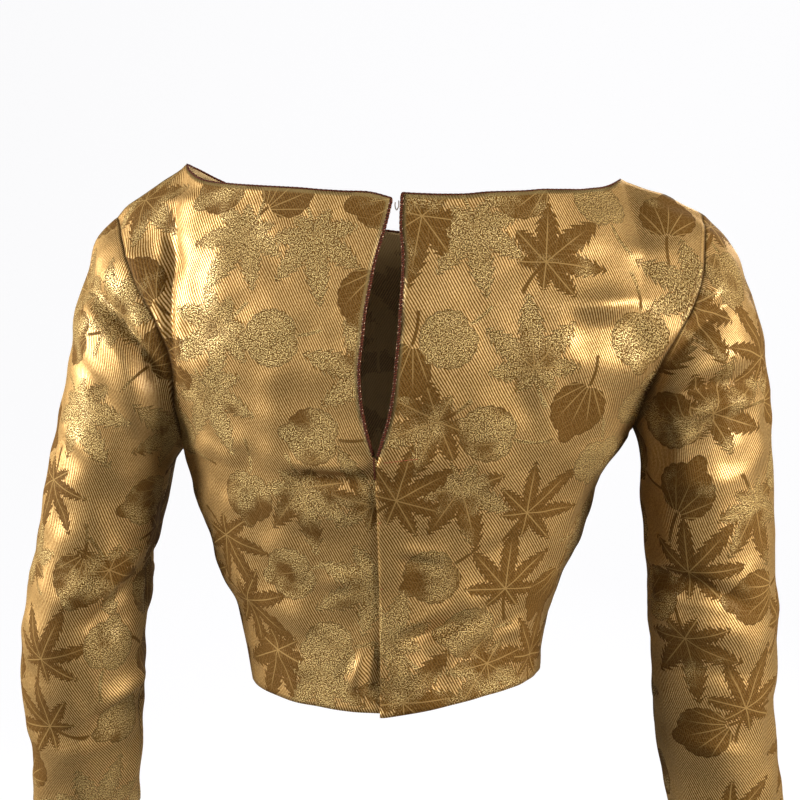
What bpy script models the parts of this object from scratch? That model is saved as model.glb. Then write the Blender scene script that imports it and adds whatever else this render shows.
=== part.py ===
"""Boat neck blouse of leaf brocade, worn form, open down a keyhole slit at the back.

Metres, +Z up. The wearer faces -Y, the back of the blouse faces +Y and the wearer's left
is +X. The origin lies midway between the shoulder points, at the height where the blouse
hangs from the shoulders. Each cut piece is a wall of cloth: an outer grid of points worked
out from the tables below, and an inner grid one cloth thickness inside it.
"""
import bpy
import math
import numpy as np

# Cloth and seams
CLOTH = 0.0012            # thickness of the brocade with its seam turnings
SEAM_GAP = 0.00034        # space between two pieces at a seam
LAP = 0.0017              # right back lies this far over the left back, outer face to outer face
CORD_RADIUS = 0.00105     # piped edge of neck and slit
CORD_GAP = 0.0003         # cord to the cloth's cut edge

# How many cells each grid has
ROWS_LOW = 11             # hem to armpit
ROWS_HIGH = 12            # armpit to shoulder
NECK_COLS = 11            # slit or centre front to neck point
SHOULDER_COLS = 3         # neck point to shoulder tip
SLEEVE_ROWS = 23          # armhole to cuff

LEFT = 1                  # wearer's left, +X
RIGHT = -1
BACK = 1                  # +Y
FRONT = -1

# How a row of the body bends from the centre to the side
ARMPIT_Z = -0.168         # height of the row that ends at the armpit
SIDE_TURN = 90            # degrees that a row turns by the side seam
ARMHOLE_TURN = 28         # degrees less above the armpit, where the armhole cuts in
ARMHOLE_EASE = 0.35       # share of the armhole's height over which it becomes less
FLATNESS = 0.92           # 1 is an ellipse, less is flatter in the middle
TOP_SHARE = 0.65          # upper share of the armhole's height that rises to the neck line
TOP_POWER = 1.7           # how late it rises
LAP_TOP = (-0.138, -0.156)         # height over which the lap begins
LAP_REACH = {LEFT: (0.022, 0.006), RIGHT: (-0.028, -0.012)}

# How the rings of a sleeve follow each other
RING_POWER = 1.15         # over 1 sets the rings closer together near the armhole
CAP_POWER = 1.6           # how soon the armhole's shape fades out
CAP_BLEND = 0.42          # share of the sleeve over which it fades

# Folds and cups
FOLD_POINTS = 17          # points along a fold's line
FOLD_TAPER = 0.07         # share of a fold's length that is left out of its fade at each end
FOLD_POWER = 0.7          # under 1 keeps a fold's height further along
FACING = 0.25             # slope of the cloth over which a fold fades round the side
CUP_SIDE = (0.136, 0.105)          # x over which a cup begins, in from the side seam

CORNER = 0.8              # how far the neck cord's corner stands out, 1 is square
CORD_TRIM = 0.0012        # drawn in at each end of a cord
LOOP_RADIUS = 0.00035
LOOP_LEAN = 0.25          # the loop leans out of the back by this much of its drop

# Centre line of the body. Columns: z, back y, front y
CENTRE = [
    (0.010, 0.067, -0.050),
    (-0.030, 0.078, -0.060),
    (-0.060, 0.087, -0.074),
    (-0.100, 0.094, -0.097),
    (-0.150, 0.094, -0.119),
    (-0.195, 0.085, -0.128),
    (-0.240, 0.077, -0.121),
    (-0.290, 0.072, -0.110),
    (-0.335, 0.075, -0.106),
]

# Height of the hem at the centre. Columns: back, front
HEM_CENTRE = {LEFT: (-0.3260, -0.3330), RIGHT: (-0.3285, -0.3330)}
HEM_LIFT = {(RIGHT, BACK): 0.0080}          # the hem rises by this halfway to the side seam

# Side seams from the armpit down. Columns: x, y, z
SIDE_SEAM = {
    LEFT: [
        (0.1430, 0.000, -0.168), (0.1400, -0.001, -0.186), (0.1360, -0.002, -0.205),
        (0.1302, -0.003, -0.224), (0.1228, -0.005, -0.250), (0.1155, -0.006, -0.267),
        (0.1088, -0.008, -0.286), (0.1058, -0.009, -0.303), (0.1032, -0.010, -0.317),
        (0.1010, -0.012, -0.327),
    ],
    RIGHT: [
        (-0.1520, 0.000, -0.150), (-0.1455, -0.001, -0.158), (-0.1385, -0.002, -0.168),
        (-0.1295, -0.003, -0.189), (-0.1245, -0.004, -0.207), (-0.1180, -0.005, -0.223),
        (-0.1077, -0.007, -0.249), (-0.1010, -0.008, -0.268), (-0.0970, -0.010, -0.288),
        (-0.0945, -0.011, -0.304), (-0.0940, -0.012, -0.317),
    ],
}

# Armholes from the shoulder tip down to the armpit. Columns: x, y, z
ARMHOLE = {
    (LEFT, BACK): [
        (0.1900, 0.000, -0.016), (0.1805, 0.022, -0.029), (0.1710, 0.040, -0.043),
        (0.1580, 0.052, -0.066), (0.1480, 0.057, -0.084), (0.1425, 0.057, -0.104),
        (0.1418, 0.048, -0.130), (0.1425, 0.030, -0.153), (0.1430, 0.013, -0.165),
        (0.1430, 0.000, -0.168),
    ],
    (LEFT, FRONT): [
        (0.1900, 0.000, -0.016), (0.1800, -0.020, -0.030), (0.1690, -0.036, -0.050),
        (0.1580, -0.046, -0.075), (0.1505, -0.050, -0.100), (0.1455, -0.044, -0.127),
        (0.1435, -0.030, -0.150), (0.1430, -0.014, -0.164), (0.1430, 0.000, -0.168),
    ],
    (RIGHT, BACK): [
        (-0.1940, 0.000, -0.010), (-0.1960, 0.022, -0.022), (-0.1950, 0.038, -0.040),
        (-0.1900, 0.049, -0.060), (-0.1810, 0.056, -0.080), (-0.1710, 0.056, -0.100),
        (-0.1630, 0.046, -0.122), (-0.1555, 0.028, -0.141), (-0.1525, 0.012, -0.148),
        (-0.1520, 0.000, -0.150),
    ],
    (RIGHT, FRONT): [
        (-0.1940, 0.000, -0.010), (-0.1900, -0.020, -0.026), (-0.1820, -0.036, -0.048),
        (-0.1715, -0.046, -0.074), (-0.1630, -0.048, -0.098), (-0.1565, -0.041, -0.120),
        (-0.1530, -0.026, -0.138), (-0.1520, -0.012, -0.147), (-0.1520, 0.000, -0.150),
    ],
}

# Neck edge from the centre to the neck point. Columns: x, y, z
NECK = {
    (LEFT, BACK): [
        (-0.0037, 0.0690, 0.0022), (0.0080, 0.0690, 0.0052), (0.0300, 0.0675, 0.0062),
        (0.0650, 0.0600, 0.0078), (0.1000, 0.0470, 0.0088), (0.1220, 0.0330, 0.0100),
        (0.1355, 0.0160, 0.0140), (0.1420, 0.0000, 0.0184),
    ],
    (LEFT, FRONT): [
        (0.0000, -0.0580, -0.0300), (0.0350, -0.0560, -0.0260), (0.0700, -0.0490, -0.0170),
        (0.1020, -0.0375, -0.0050), (0.1250, -0.0250, 0.0060), (0.1370, -0.0120, 0.0140),
        (0.1420, 0.0000, 0.0184),
    ],
    (RIGHT, BACK): [
        (-0.0117, 0.0690, 0.0054), (-0.0330, 0.0675, 0.0044), (-0.0700, 0.0600, 0.0062),
        (-0.1020, 0.0465, 0.0066), (-0.1230, 0.0320, 0.0070), (-0.1365, 0.0150, 0.0080),
        (-0.1418, 0.0000, 0.0100),
    ],
    (RIGHT, FRONT): [
        (0.0000, -0.0580, -0.0300), (-0.0370, -0.0560, -0.0265), (-0.0740, -0.0490, -0.0180),
        (-0.1040, -0.0375, -0.0080), (-0.1260, -0.0250, 0.0010), (-0.1370, -0.0120, 0.0070),
        (-0.1418, 0.0000, 0.0100),
    ],
}

# Shoulder seams from the neck point out. Columns: x, y, z
SHOULDER = {
    LEFT: [
        (0.1420, 0.0, 0.0184), (0.1576, 0.0, 0.0095), (0.1690, 0.0, 0.0018),
        (0.1790, 0.0, -0.0058), (0.1900, 0.0, -0.0160),
    ],
    RIGHT: [
        (-0.1418, 0.0, 0.0100), (-0.1570, 0.0, 0.0068), (-0.1710, 0.0, 0.0022),
        (-0.1800, 0.0, -0.0024), (-0.1940, 0.0, -0.0100),
    ],
}

# Keyhole slit: middle of the cord on each side. Columns: z, left x, right x
SLIT = [
    (0.0060, -0.0056, -0.0104),
    (-0.0150, -0.0012, -0.0108),
    (-0.0315, 0.0034, -0.0128),
    (-0.0470, 0.0064, -0.0130),
    (-0.0650, 0.0090, -0.0126),
    (-0.0850, 0.0107, -0.0117),
    (-0.0980, 0.0121, -0.0107),
    (-0.1140, 0.0115, -0.0093),
    (-0.1300, 0.0096, -0.0066),
    (-0.1440, 0.0063, -0.0026),
    (-0.1540, 0.0036, 0.0006),
]
CORD_TO_EDGE = CORD_RADIUS + CORD_GAP
CLOSING_X = 0.0025        # edge of the right back, which lies on top
UNDERLAP_X = -0.0095      # edge of the left back, under the right one

# Thread loop that hangs between the tops of the two cords. Columns: x, z
LOOP = [
    (-0.00665, 0.0000), (-0.00670, -0.0026), (-0.00770, -0.0046), (-0.00870, -0.0030),
    (-0.00880, 0.0010),
]
LOOP_CELLS = 12

# Sleeves, ring by ring from the armhole to the cuff. Columns: outer x, outer z, inner x,
# inner z, middle y, half depth, tilt of the ring in degrees (back edge lower)
SLEEVE = {
    LEFT: [
        (0.1900, -0.016, 0.1430, -0.168, 0.003, 0.0535, 0),
        (0.2026, -0.028, 0.1465, -0.172, 0.003, 0.0540, 0),
        (0.2107, -0.052, 0.1495, -0.176, 0.003, 0.0540, 0),
        (0.2185, -0.078, 0.1525, -0.181, 0.003, 0.0535, 0),
        (0.2240, -0.108, 0.1555, -0.189, 0.003, 0.0530, 0),
        (0.2325, -0.155, 0.1602, -0.205, 0.002, 0.0515, 0),
        (0.2440, -0.205, 0.1655, -0.230, 0.000, 0.0500, 1),
        (0.2540, -0.252, 0.1722, -0.262, -0.003, 0.0490, 2),
        (0.2629, -0.292, 0.1790, -0.296, -0.006, 0.0480, 4),
        (0.2675, -0.325, 0.1822, -0.329, -0.011, 0.0465, 8),
        (0.2675, -0.358, 0.1867, -0.363, -0.017, 0.0445, 10),
        (0.2658, -0.393, 0.1907, -0.400, -0.024, 0.0425, 12),
        (0.2712, -0.430, 0.1946, -0.438, -0.032, 0.0408, 12),
    ],
    RIGHT: [
        (-0.1940, -0.010, -0.1520, -0.150, 0.003, 0.0530, 0),
        (-0.2124, -0.030, -0.1542, -0.155, 0.003, 0.0540, 0),
        (-0.2235, -0.052, -0.1560, -0.161, 0.003, 0.0540, 0),
        (-0.2325, -0.082, -0.1572, -0.170, 0.003, 0.0535, 0),
        (-0.2380, -0.118, -0.1585, -0.184, 0.003, 0.0525, 0),
        (-0.2425, -0.172, -0.1607, -0.206, 0.002, 0.0510, 0),
        (-0.2457, -0.220, -0.1632, -0.236, 0.000, 0.0495, 1),
        (-0.2490, -0.262, -0.1655, -0.270, -0.003, 0.0480, 2),
        (-0.2508, -0.305, -0.1672, -0.309, -0.007, 0.0465, 4),
        (-0.2514, -0.350, -0.1710, -0.353, -0.013, 0.0445, 6),
        (-0.2555, -0.380, -0.1765, -0.382, -0.018, 0.0430, 8),
        (-0.2590, -0.410, -0.1815, -0.411, -0.023, 0.0415, 8),
    ],
}

# Front cups: soft fullness taken in by the darts. Columns: x, z, radius, height
CUPS = [
    (0.076, -0.188, 0.050, 0.017),
    (-0.076, -0.188, 0.050, 0.017),
]

# Largest folds. Columns: face, x0, z0, x1, z1, sideways bend, half width, height
# (a ridge has a height over 0, a trough under 0)
FOLDS = [
    (BACK, 0.1600, -0.0060, 0.1180, -0.0080, 0.000, 0.010, 0.0020),
    (BACK, 0.1450, -0.0400, 0.1440, -0.1220, 0.003, 0.010, -0.0035),
    (BACK, 0.1600, -0.0330, 0.1290, -0.0480, 0.002, 0.010, -0.0022),
    (BACK, 0.0850, -0.1600, 0.0060, -0.1590, 0.003, 0.010, 0.0016),
    (BACK, 0.0850, -0.1720, 0.0060, -0.1690, 0.003, 0.010, -0.0016),
    (BACK, 0.0105, -0.2800, 0.0200, -0.3120, 0.001, 0.010, 0.0020),
    (BACK, 0.1050, -0.2150, 0.0500, -0.2500, 0.004, 0.010, -0.0020),
    (BACK, 0.1000, -0.2500, 0.0450, -0.2750, 0.003, 0.010, 0.0018),
    (BACK, -0.1050, -0.0600, -0.1660, -0.0580, 0.003, 0.010, 0.0028),
    (BACK, -0.1100, -0.0790, -0.1640, -0.0800, 0.002, 0.010, -0.0020),
    (BACK, -0.0110, -0.2690, -0.0420, -0.2480, 0.002, 0.010, 0.0022),
    (BACK, -0.0110, -0.2790, -0.0620, -0.2600, 0.003, 0.010, -0.0030),
    (BACK, -0.0160, -0.2880, -0.0640, -0.2720, 0.002, 0.010, 0.0022),
    (BACK, -0.1000, -0.2000, -0.0500, -0.2350, -0.004, 0.010, -0.0022),
    (BACK, -0.0900, -0.2350, -0.0450, -0.2560, -0.003, 0.010, 0.0018),
    (BACK, 0.2020, -0.0560, 0.1460, -0.1220, -0.006, 0.010, -0.0040),
    (BACK, 0.2120, -0.0800, 0.1600, -0.1450, -0.006, 0.010, 0.0030),
    (BACK, 0.1600, -0.2380, 0.2120, -0.2950, -0.006, 0.010, -0.0045),
    (BACK, 0.1780, -0.2250, 0.2320, -0.2780, -0.006, 0.010, 0.0030),
    (BACK, 0.1770, -0.3240, 0.2080, -0.3520, -0.003, 0.010, 0.0030),
    (BACK, 0.1840, -0.3480, 0.2200, -0.3680, -0.003, 0.010, -0.0028),
    (BACK, -0.1600, -0.1200, -0.2200, -0.0560, -0.008, 0.010, -0.0045),
    (BACK, -0.1680, -0.1050, -0.2120, -0.0500, -0.006, 0.010, 0.0034),
    (BACK, -0.1540, -0.1345, -0.2320, -0.1100, -0.008, 0.010, -0.0048),
    (BACK, -0.1680, -0.1290, -0.2240, -0.0900, -0.006, 0.010, 0.0032),
    (BACK, -0.1750, -0.1520, -0.2260, -0.1330, -0.004, 0.010, -0.0030),
    (BACK, -0.1700, -0.2450, -0.2300, -0.2600, -0.005, 0.010, -0.0030),
    (BACK, -0.1720, -0.2700, -0.2350, -0.2740, -0.004, 0.011, 0.0026),
    (FRONT, 0.1420, -0.1200, 0.0980, -0.1550, 0.004, 0.010, -0.0030),
    (FRONT, -0.1500, -0.1100, -0.1020, -0.1500, -0.004, 0.010, -0.0030),
    (FRONT, 0.1180, -0.2500, 0.0700, -0.2700, 0.003, 0.010, -0.0022),
    (FRONT, -0.1120, -0.2400, -0.0650, -0.2650, -0.003, 0.010, -0.0022),
    (FRONT, 0.1500, -0.1250, 0.2120, -0.0950, 0.006, 0.010, -0.0040),
    (FRONT, 0.1700, -0.2450, 0.2400, -0.2600, 0.004, 0.010, -0.0042),
    (FRONT, 0.1740, -0.2750, 0.2450, -0.2880, 0.004, 0.011, 0.0030),
    (FRONT, -0.1600, -0.1150, -0.2260, -0.0850, -0.006, 0.010, -0.0040),
    (FRONT, -0.1660, -0.2300, -0.2350, -0.2450, -0.004, 0.010, -0.0042),
    (FRONT, -0.1700, -0.2620, -0.2360, -0.2720, -0.004, 0.011, 0.0030),
]


def smooth(low, high, value):
    """0 at low, 1 at high, with soft ends; low may be the larger one."""
    t = np.clip((np.asarray(value, float) - low) / (high - low), 0, 1)
    return t * t * (3 - 2 * t)


def unit(vectors):
    """Vectors of length 1; a zero vector stays zero."""
    return vectors / np.maximum(np.linalg.norm(vectors, axis=-1, keepdims=True), 1e-12)


def spline(table, key):
    """Smooth values of a table's other columns at a key of its first column."""
    rows = np.array(sorted(table), float)
    keys = rows[:, 0]
    values = rows[:, 1:]
    slopes = np.gradient(values, keys, axis=0)
    key = np.clip(np.atleast_1d(key), keys[0], keys[-1])
    cell = np.clip(np.searchsorted(keys, key) - 1, 0, len(keys) - 2)
    span = (keys[cell + 1] - keys[cell])[:, None]
    t = (key - keys[cell])[:, None] / span
    start = (1 + 2 * t) * (1 - t) ** 2 * values[cell] + t * (1 - t) ** 2 * span * slopes[cell]
    end = t * t * (3 - 2 * t) * values[cell + 1] - t * t * (1 - t) * span * slopes[cell + 1]
    return start + end


def along(points, cells):
    """A smooth curve through the points, as cells + 1 evenly spaced points."""
    points = np.array(points, float)
    steps = np.linalg.norm(np.diff(points, axis=0), axis=1)
    length = np.concatenate([[0], np.cumsum(steps)])
    fine = np.linspace(0, length[-1], 40 * len(points))
    curve = spline(np.column_stack([length, points]).tolist(), fine)
    walked = np.concatenate([[0], np.cumsum(np.linalg.norm(np.diff(curve, axis=0), axis=1))])
    even = np.linspace(0, walked[-1], cells + 1)
    return np.column_stack([np.interp(even, walked, curve[:, k]) for k in range(3)])


def slit_edge(side, z):
    """x of a back panel's centre edge: slit above its foot, closing below it."""
    cord = spline(SLIT, z)[0, 0 if side == LEFT else 1]
    return cord + side * CORD_TO_EDGE


def torso_half(side, face):
    """Grid of half a body: rows go up from the hem, columns out from the centre."""
    cols = NECK_COLS + SHOULDER_COLS
    seam = along(SIDE_SEAM[side][::-1], ROWS_LOW)
    armhole = along(ARMHOLE[side, face][::-1], ROWS_HIGH)
    edge = np.vstack([seam, armhole[1:]])
    neck = along(NECK[side, face], NECK_COLS)
    shoulder = along(SHOULDER[side], SHOULDER_COLS)
    top = np.vstack([neck, shoulder[1:]])
    hem_z = HEM_CENTRE[side][0 if face == BACK else 1]
    grid = np.zeros((ROWS_LOW + ROWS_HIGH + 1, cols + 1, 3))
    for i, side_point in enumerate(edge):
        high = max(0, i - ROWS_LOW) / ROWS_HIGH
        if i <= ROWS_LOW:
            z = hem_z + (ARMPIT_Z - hem_z) * i / ROWS_LOW
        else:
            z = ARMPIT_Z + (top[0, 2] - ARMPIT_Z) * high
        depth = spline(CENTRE, z)[0, 0 if face == BACK else 1]
        if face == FRONT:
            inner_x = 0.0
        elif i > ROWS_LOW:
            inner_x = slit_edge(side, z)
        else:
            inner_x = UNDERLAP_X if side == LEFT else CLOSING_X
        turn = math.radians(SIDE_TURN - ARMHOLE_TURN * float(smooth(0, ARMHOLE_EASE, high)))
        start = math.asin(inner_x * math.sin(turn) / side_point[0])
        angle = np.linspace(start, turn, cols + 1)
        last = math.cos(turn) ** FLATNESS
        swing = (np.cos(angle) ** FLATNESS - last) / (1 - last)
        grid[i, :, 0] = side_point[0] * np.sin(angle) / math.sin(turn)
        grid[i, :, 1] = side_point[1] + (depth - side_point[1]) * swing
        grid[i, :, 2] = z + (side_point[2] - z) * (angle / turn) ** 2
        bow = np.sin(math.pi * np.maximum(angle, 0) / turn)
        grid[i, :, 2] += HEM_LIFT.get((side, face), 0) * bow * max(0, 1 - i / ROWS_LOW) ** 2
    gap = top - grid[-1]
    for i in range(ROWS_LOW, ROWS_LOW + ROWS_HIGH + 1):
        share = max(0, (i - ROWS_LOW) / ROWS_HIGH - 1 + TOP_SHARE) / TOP_SHARE
        grid[i] += gap * share ** TOP_POWER
    return grid


def sleeve_grid(side):
    """Rings from the armhole to the cuff, starting at the shoulder and turning backwards."""
    back = along(ARMHOLE[side, BACK], ROWS_HIGH)
    front = along(ARMHOLE[side, FRONT], ROWS_HIGH)
    loop = np.vstack([back, front[-2:0:-1]])
    count = len(loop)
    rings = np.array(SLEEVE[side], float)
    outer, inner = rings[:, :2], rings[:, 2:4]
    middle = np.column_stack([(outer + inner)[:, 0] / 2, rings[:, 4], (outer + inner)[:, 1] / 2])
    steps = np.linalg.norm(np.diff(middle, axis=0), axis=1)
    length = np.concatenate([[0], np.cumsum(steps)]) / steps.sum()
    table = np.column_stack([length, rings]).tolist()
    angle = 2 * math.pi * np.arange(count) / count
    grid = np.zeros((SLEEVE_ROWS + 1, count, 3))
    for i in range(SLEEVE_ROWS + 1):
        share = (i / SLEEVE_ROWS) ** RING_POWER
        outer_x, outer_z, inner_x, inner_z, mid_y, half_y, tilt = spline(table, share)[0]
        tilt = math.radians(tilt)
        across = np.array([outer_x - inner_x, 0, outer_z - inner_z]) / 2
        deep = half_y * np.array([0, math.cos(tilt), -math.sin(tilt)])
        centre = np.array([(outer_x + inner_x) / 2, mid_y, (outer_z + inner_z) / 2])
        ring = centre + np.outer(np.cos(angle), across) + np.outer(np.sin(angle), deep)
        if i == 0:
            gap = loop - ring
        fade = max(0.0, 1 - share / CAP_BLEND) ** CAP_POWER
        grid[i] = ring + gap * fade
    return grid


def base_grids():
    """Outer faces of the five cut pieces before any fold. True marks a mirrored order."""
    front = np.hstack([torso_half(LEFT, FRONT)[:, ::-1], torso_half(RIGHT, FRONT)[:, 1:]])
    return {
        "back_left": (torso_half(LEFT, BACK), False),
        "back_right": (torso_half(RIGHT, BACK), True),
        "front": (front, False),
        "sleeve_left": (sleeve_grid(LEFT), False),
        "sleeve_right": (sleeve_grid(RIGHT), True),
    }


def closed_round(name):
    return name.startswith("sleeve")


def face_normals(name, grid, mirrored):
    """Unit outward normals at a piece's own points."""
    ring = np.concatenate([grid, grid[:, :1]], axis=1) if closed_round(name) else grid
    face = np.cross(ring[1:, 1:] - ring[:-1, :-1], ring[:-1, 1:] - ring[1:, :-1])
    face = -face if mirrored else face
    total = np.zeros_like(ring)
    for di in (0, 1):
        for dj in (0, 1):
            total[di:di + face.shape[0], dj:dj + face.shape[1]] += face
    if closed_round(name):
        total[:, 0] += total[:, -1]
        total = total[:, :-1]
    return unit(total)


def shared_normals(grids):
    """Outward normals that pieces share where their points meet at a seam."""
    points = np.vstack([grid.reshape(-1, 3) for grid, _ in grids.values()])
    _, group = np.unique(np.round(points, 6), axis=0, return_inverse=True)
    group = group.ravel()
    summed = {True: np.zeros((group.max() + 1, 3)), False: np.zeros((group.max() + 1, 3))}
    spans = {}
    first = 0
    for name, (grid, mirrored) in grids.items():
        spans[name] = group[first:first + grid.shape[0] * grid.shape[1]]
        first += grid.shape[0] * grid.shape[1]
        np.add.at(summed[closed_round(name)], spans[name], face_normals(name, grid, mirrored).reshape(-1, 3))
    shared = unit(unit(summed[True]) + unit(summed[False]))
    for name, (grid, _) in grids.items():
        if closed_round(name):
            ring = spans[name][:grid.shape[1]]
            run = unit(np.roll(grid[0], -1, axis=0) - np.roll(grid[0], 1, axis=0))
            lean = (shared[ring] * run).sum(axis=1, keepdims=True)
            shared[ring] = unit(shared[ring] - lean * run)
    return {name: shared[spans[name]].reshape(grids[name][0].shape) for name in grids}


def fold_height(points, normals):
    """Height of all folds and cups at each point."""
    x = points[..., 0]
    z = points[..., 2]
    height = np.zeros(x.shape)
    facing = {side: smooth(-FACING, FACING, side * normals[..., 1]) for side in (BACK, FRONT)}
    t = np.linspace(0, 1, FOLD_POINTS)
    for face, x0, z0, x1, z1, bend, width, rise in FOLDS:
        run = math.hypot(x1 - x0, z1 - z0)
        side_x = -(z1 - z0) / run * bend
        side_z = (x1 - x0) / run * bend
        bow = 4 * t * (1 - t)
        line_x = x0 + (x1 - x0) * t + side_x * bow
        line_z = z0 + (z1 - z0) * t + side_z * bow
        away = np.hypot(x[..., None] - line_x, z[..., None] - line_z)
        nearest = np.argmin(away, axis=-1)
        ends = np.sin(math.pi * (FOLD_TAPER + (1 - 2 * FOLD_TAPER) * t[nearest])) ** FOLD_POWER
        height += rise * ends * np.exp(-(away.min(axis=-1) / width) ** 2) * facing[face]
    inside = facing[FRONT] * smooth(*CUP_SIDE, np.abs(x))
    for cup_x, cup_z, radius, rise in CUPS:
        away = np.hypot(x - cup_x, z - cup_z)
        height += rise * np.exp(-(away / radius) ** 2) * inside
    return height


def lap_height(name, points):
    """The right back stands over the left one along the closing."""
    below = smooth(*LAP_TOP, points[..., 2])
    if name == "back_left":
        return -LAP / 2 * below * smooth(*LAP_REACH[LEFT], points[..., 0])
    if name == "back_right":
        return LAP / 2 * below * smooth(*LAP_REACH[RIGHT], points[..., 0])
    return 0.0


def draped_grids():
    """The pieces with their folds, and the normals that go with them."""
    grids = base_grids()
    normals = shared_normals(grids)
    for name, (grid, mirrored) in grids.items():
        height = fold_height(grid, normals[name]) + lap_height(name, grid)
        grids[name] = (grid + normals[name] * height[..., None], mirrored)
    return grids, shared_normals(grids)


def edge_pull(line, normal, sign):
    """Half a seam's gap, from each point of an edge back into its own piece."""
    run = np.gradient(line, axis=0)
    return -sign * unit(np.cross(normal, run)) * SEAM_GAP / 2


def seam_pull(name, grid, mirrored, normals):
    """How far each point moves back from the seams of its piece."""
    pull = np.zeros_like(grid)
    sign = -1 if mirrored else 1
    if closed_round(name):
        closed = np.vstack([grid[0, -1:], grid[0], grid[0, :1]])
        around = np.vstack([normals[0, -1:], normals[0], normals[0, :1]])
        pull[0] += edge_pull(closed, around, sign)[1:-1]
        return pull
    pull[:, -1] += edge_pull(grid[:, -1], normals[:, -1], sign)
    pull[-1, -SHOULDER_COLS - 1:] += edge_pull(
        grid[-1, -SHOULDER_COLS - 1:], normals[-1, -SHOULDER_COLS - 1:], -sign)
    if name == "front":
        pull[:, 0] += edge_pull(grid[:, 0], normals[:, 0], -sign)
        pull[-1, :SHOULDER_COLS + 1] += edge_pull(
            grid[-1, :SHOULDER_COLS + 1], normals[-1, :SHOULDER_COLS + 1], -sign)
    return pull


def cloth_wall(name, outer, inner, mirrored, material, collection):
    """A closed wall between an outer and an inner grid, with a rim on every free edge."""
    rows, cols = outer.shape[:2]
    around = closed_round(name)
    verts = np.vstack([outer.reshape(-1, 3), inner.reshape(-1, 3)]).tolist()
    shift = rows * cols

    def at(i, j):
        return i * cols + j % cols

    faces = []
    last = cols if around else cols - 1
    for i in range(rows - 1):
        for j in range(last):
            low, up, far, side = at(i, j), at(i + 1, j), at(i + 1, j + 1), at(i, j + 1)
            for face in ([low, up, far], [low, far, side]):
                faces.append(face)
                faces.append([v + shift for v in reversed(face)])
    rims = [[at(0, j) for j in range(last + 1)], [at(rows - 1, j) for j in range(last, -1, -1)]]
    if not around:
        rims.append([at(i, cols - 1) for i in range(rows)])
        rims.append([at(i, 0) for i in range(rows - 1, -1, -1)])
    for rim in rims:
        for a, b in zip(rim, rim[1:]):
            if verts[a][2] < verts[b][2]:
                faces += [[a, b, b + shift], [a, b + shift, a + shift]]
            else:
                faces += [[a, b, a + shift], [b, b + shift, a + shift]]
    if mirrored:
        faces = [face[::-1] for face in faces]
    mesh = bpy.data.meshes.new(name)
    mesh.from_pydata(verts, [], faces)
    mesh.materials.append(material)
    mesh.shade_smooth()
    piece = bpy.data.objects.new(name, mesh)
    collection.objects.link(piece)
    return piece


def tube(name, path, radius, material, collection):
    """A round cord or wire through the points of a path."""
    curve = bpy.data.curves.new(name, "CURVE")
    curve.dimensions = "3D"
    curve.bevel_depth = radius
    curve.bevel_resolution = 1
    curve.use_fill_caps = True
    line = curve.splines.new("POLY")
    line.points.add(len(path) - 1)
    for point, place in zip(line.points, path):
        point.co = (*place, 1)
    curve.materials.append(material)
    piece = bpy.data.objects.new(name, curve)
    collection.objects.link(piece)
    return piece


def beside_edge(outer, inner, normals, sign):
    """Middle of a cord that lies against an edge of a wall."""
    middle = (outer + inner) / 2
    run = np.gradient(middle, axis=0)
    return middle + sign * unit(np.cross(normals, run)) * CORD_TO_EDGE


def trimmed(path):
    """The path with both ends drawn in."""
    path = np.array(path)
    for end, nxt in ((0, 1), (-1, -2)):
        path[end] += unit(path[nxt] - path[end]) * CORD_TRIM
    return path


def neck_cords(walls, material, collection):
    """Piped edge: one length round the front neck, one down each side of the back."""
    shoulder = SHOULDER_COLS
    outer, inner, normals, _ = walls["front"]
    strip = slice(shoulder, outer.shape[1] - shoulder)
    path = beside_edge(outer[-1, strip], inner[-1, strip], normals[-1, strip], -1)
    tube("neck_cord_front", trimmed(path), CORD_RADIUS, material, collection)
    foot = ROWS_LOW + 1
    for name, label in (("back_left", "left"), ("back_right", "right")):
        outer, inner, normals, mirrored = walls[name]
        sign = -1 if mirrored else 1
        strip = slice(0, outer.shape[1] - shoulder)
        neck = beside_edge(outer[-1, strip], inner[-1, strip], normals[-1, strip], -sign)
        slit = beside_edge(outer[foot:, 0], inner[foot:, 0], normals[foot:, 0], -sign)
        corner = (outer[-1, 0] + inner[-1, 0]) / 2
        turn = neck[0] + slit[-1] - 2 * corner
        path = np.vstack([neck[:0:-1], [neck[0], corner + turn * CORNER, slit[-1]], slit[-2::-1]])
        tube("neck_cord_" + label, trimmed(path), CORD_RADIUS, material, collection)


def closing_loop(walls, material, collection):
    """Thread loop over a hook at the top of the slit, between the two cords."""
    y = (walls["back_left"][0][-1, 0, 1] + walls["back_right"][0][-1, 0, 1]) / 2 - CLOTH / 2
    path = along([(x, y - LOOP_LEAN * z, z) for x, z in LOOP], LOOP_CELLS)
    tube("closing_loop", path, LOOP_RADIUS, material, collection)


def cloth_material(name, colour, roughness, metallic):
    material = bpy.data.materials.new(name)
    material.use_nodes = True
    shader = material.node_tree.nodes["Principled BSDF"]
    shader.inputs["Base Color"].default_value = (*colour, 1)
    shader.inputs["Roughness"].default_value = roughness
    shader.inputs["Metallic"].default_value = metallic
    material.diffuse_color = (*colour, 1)
    return material


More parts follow.
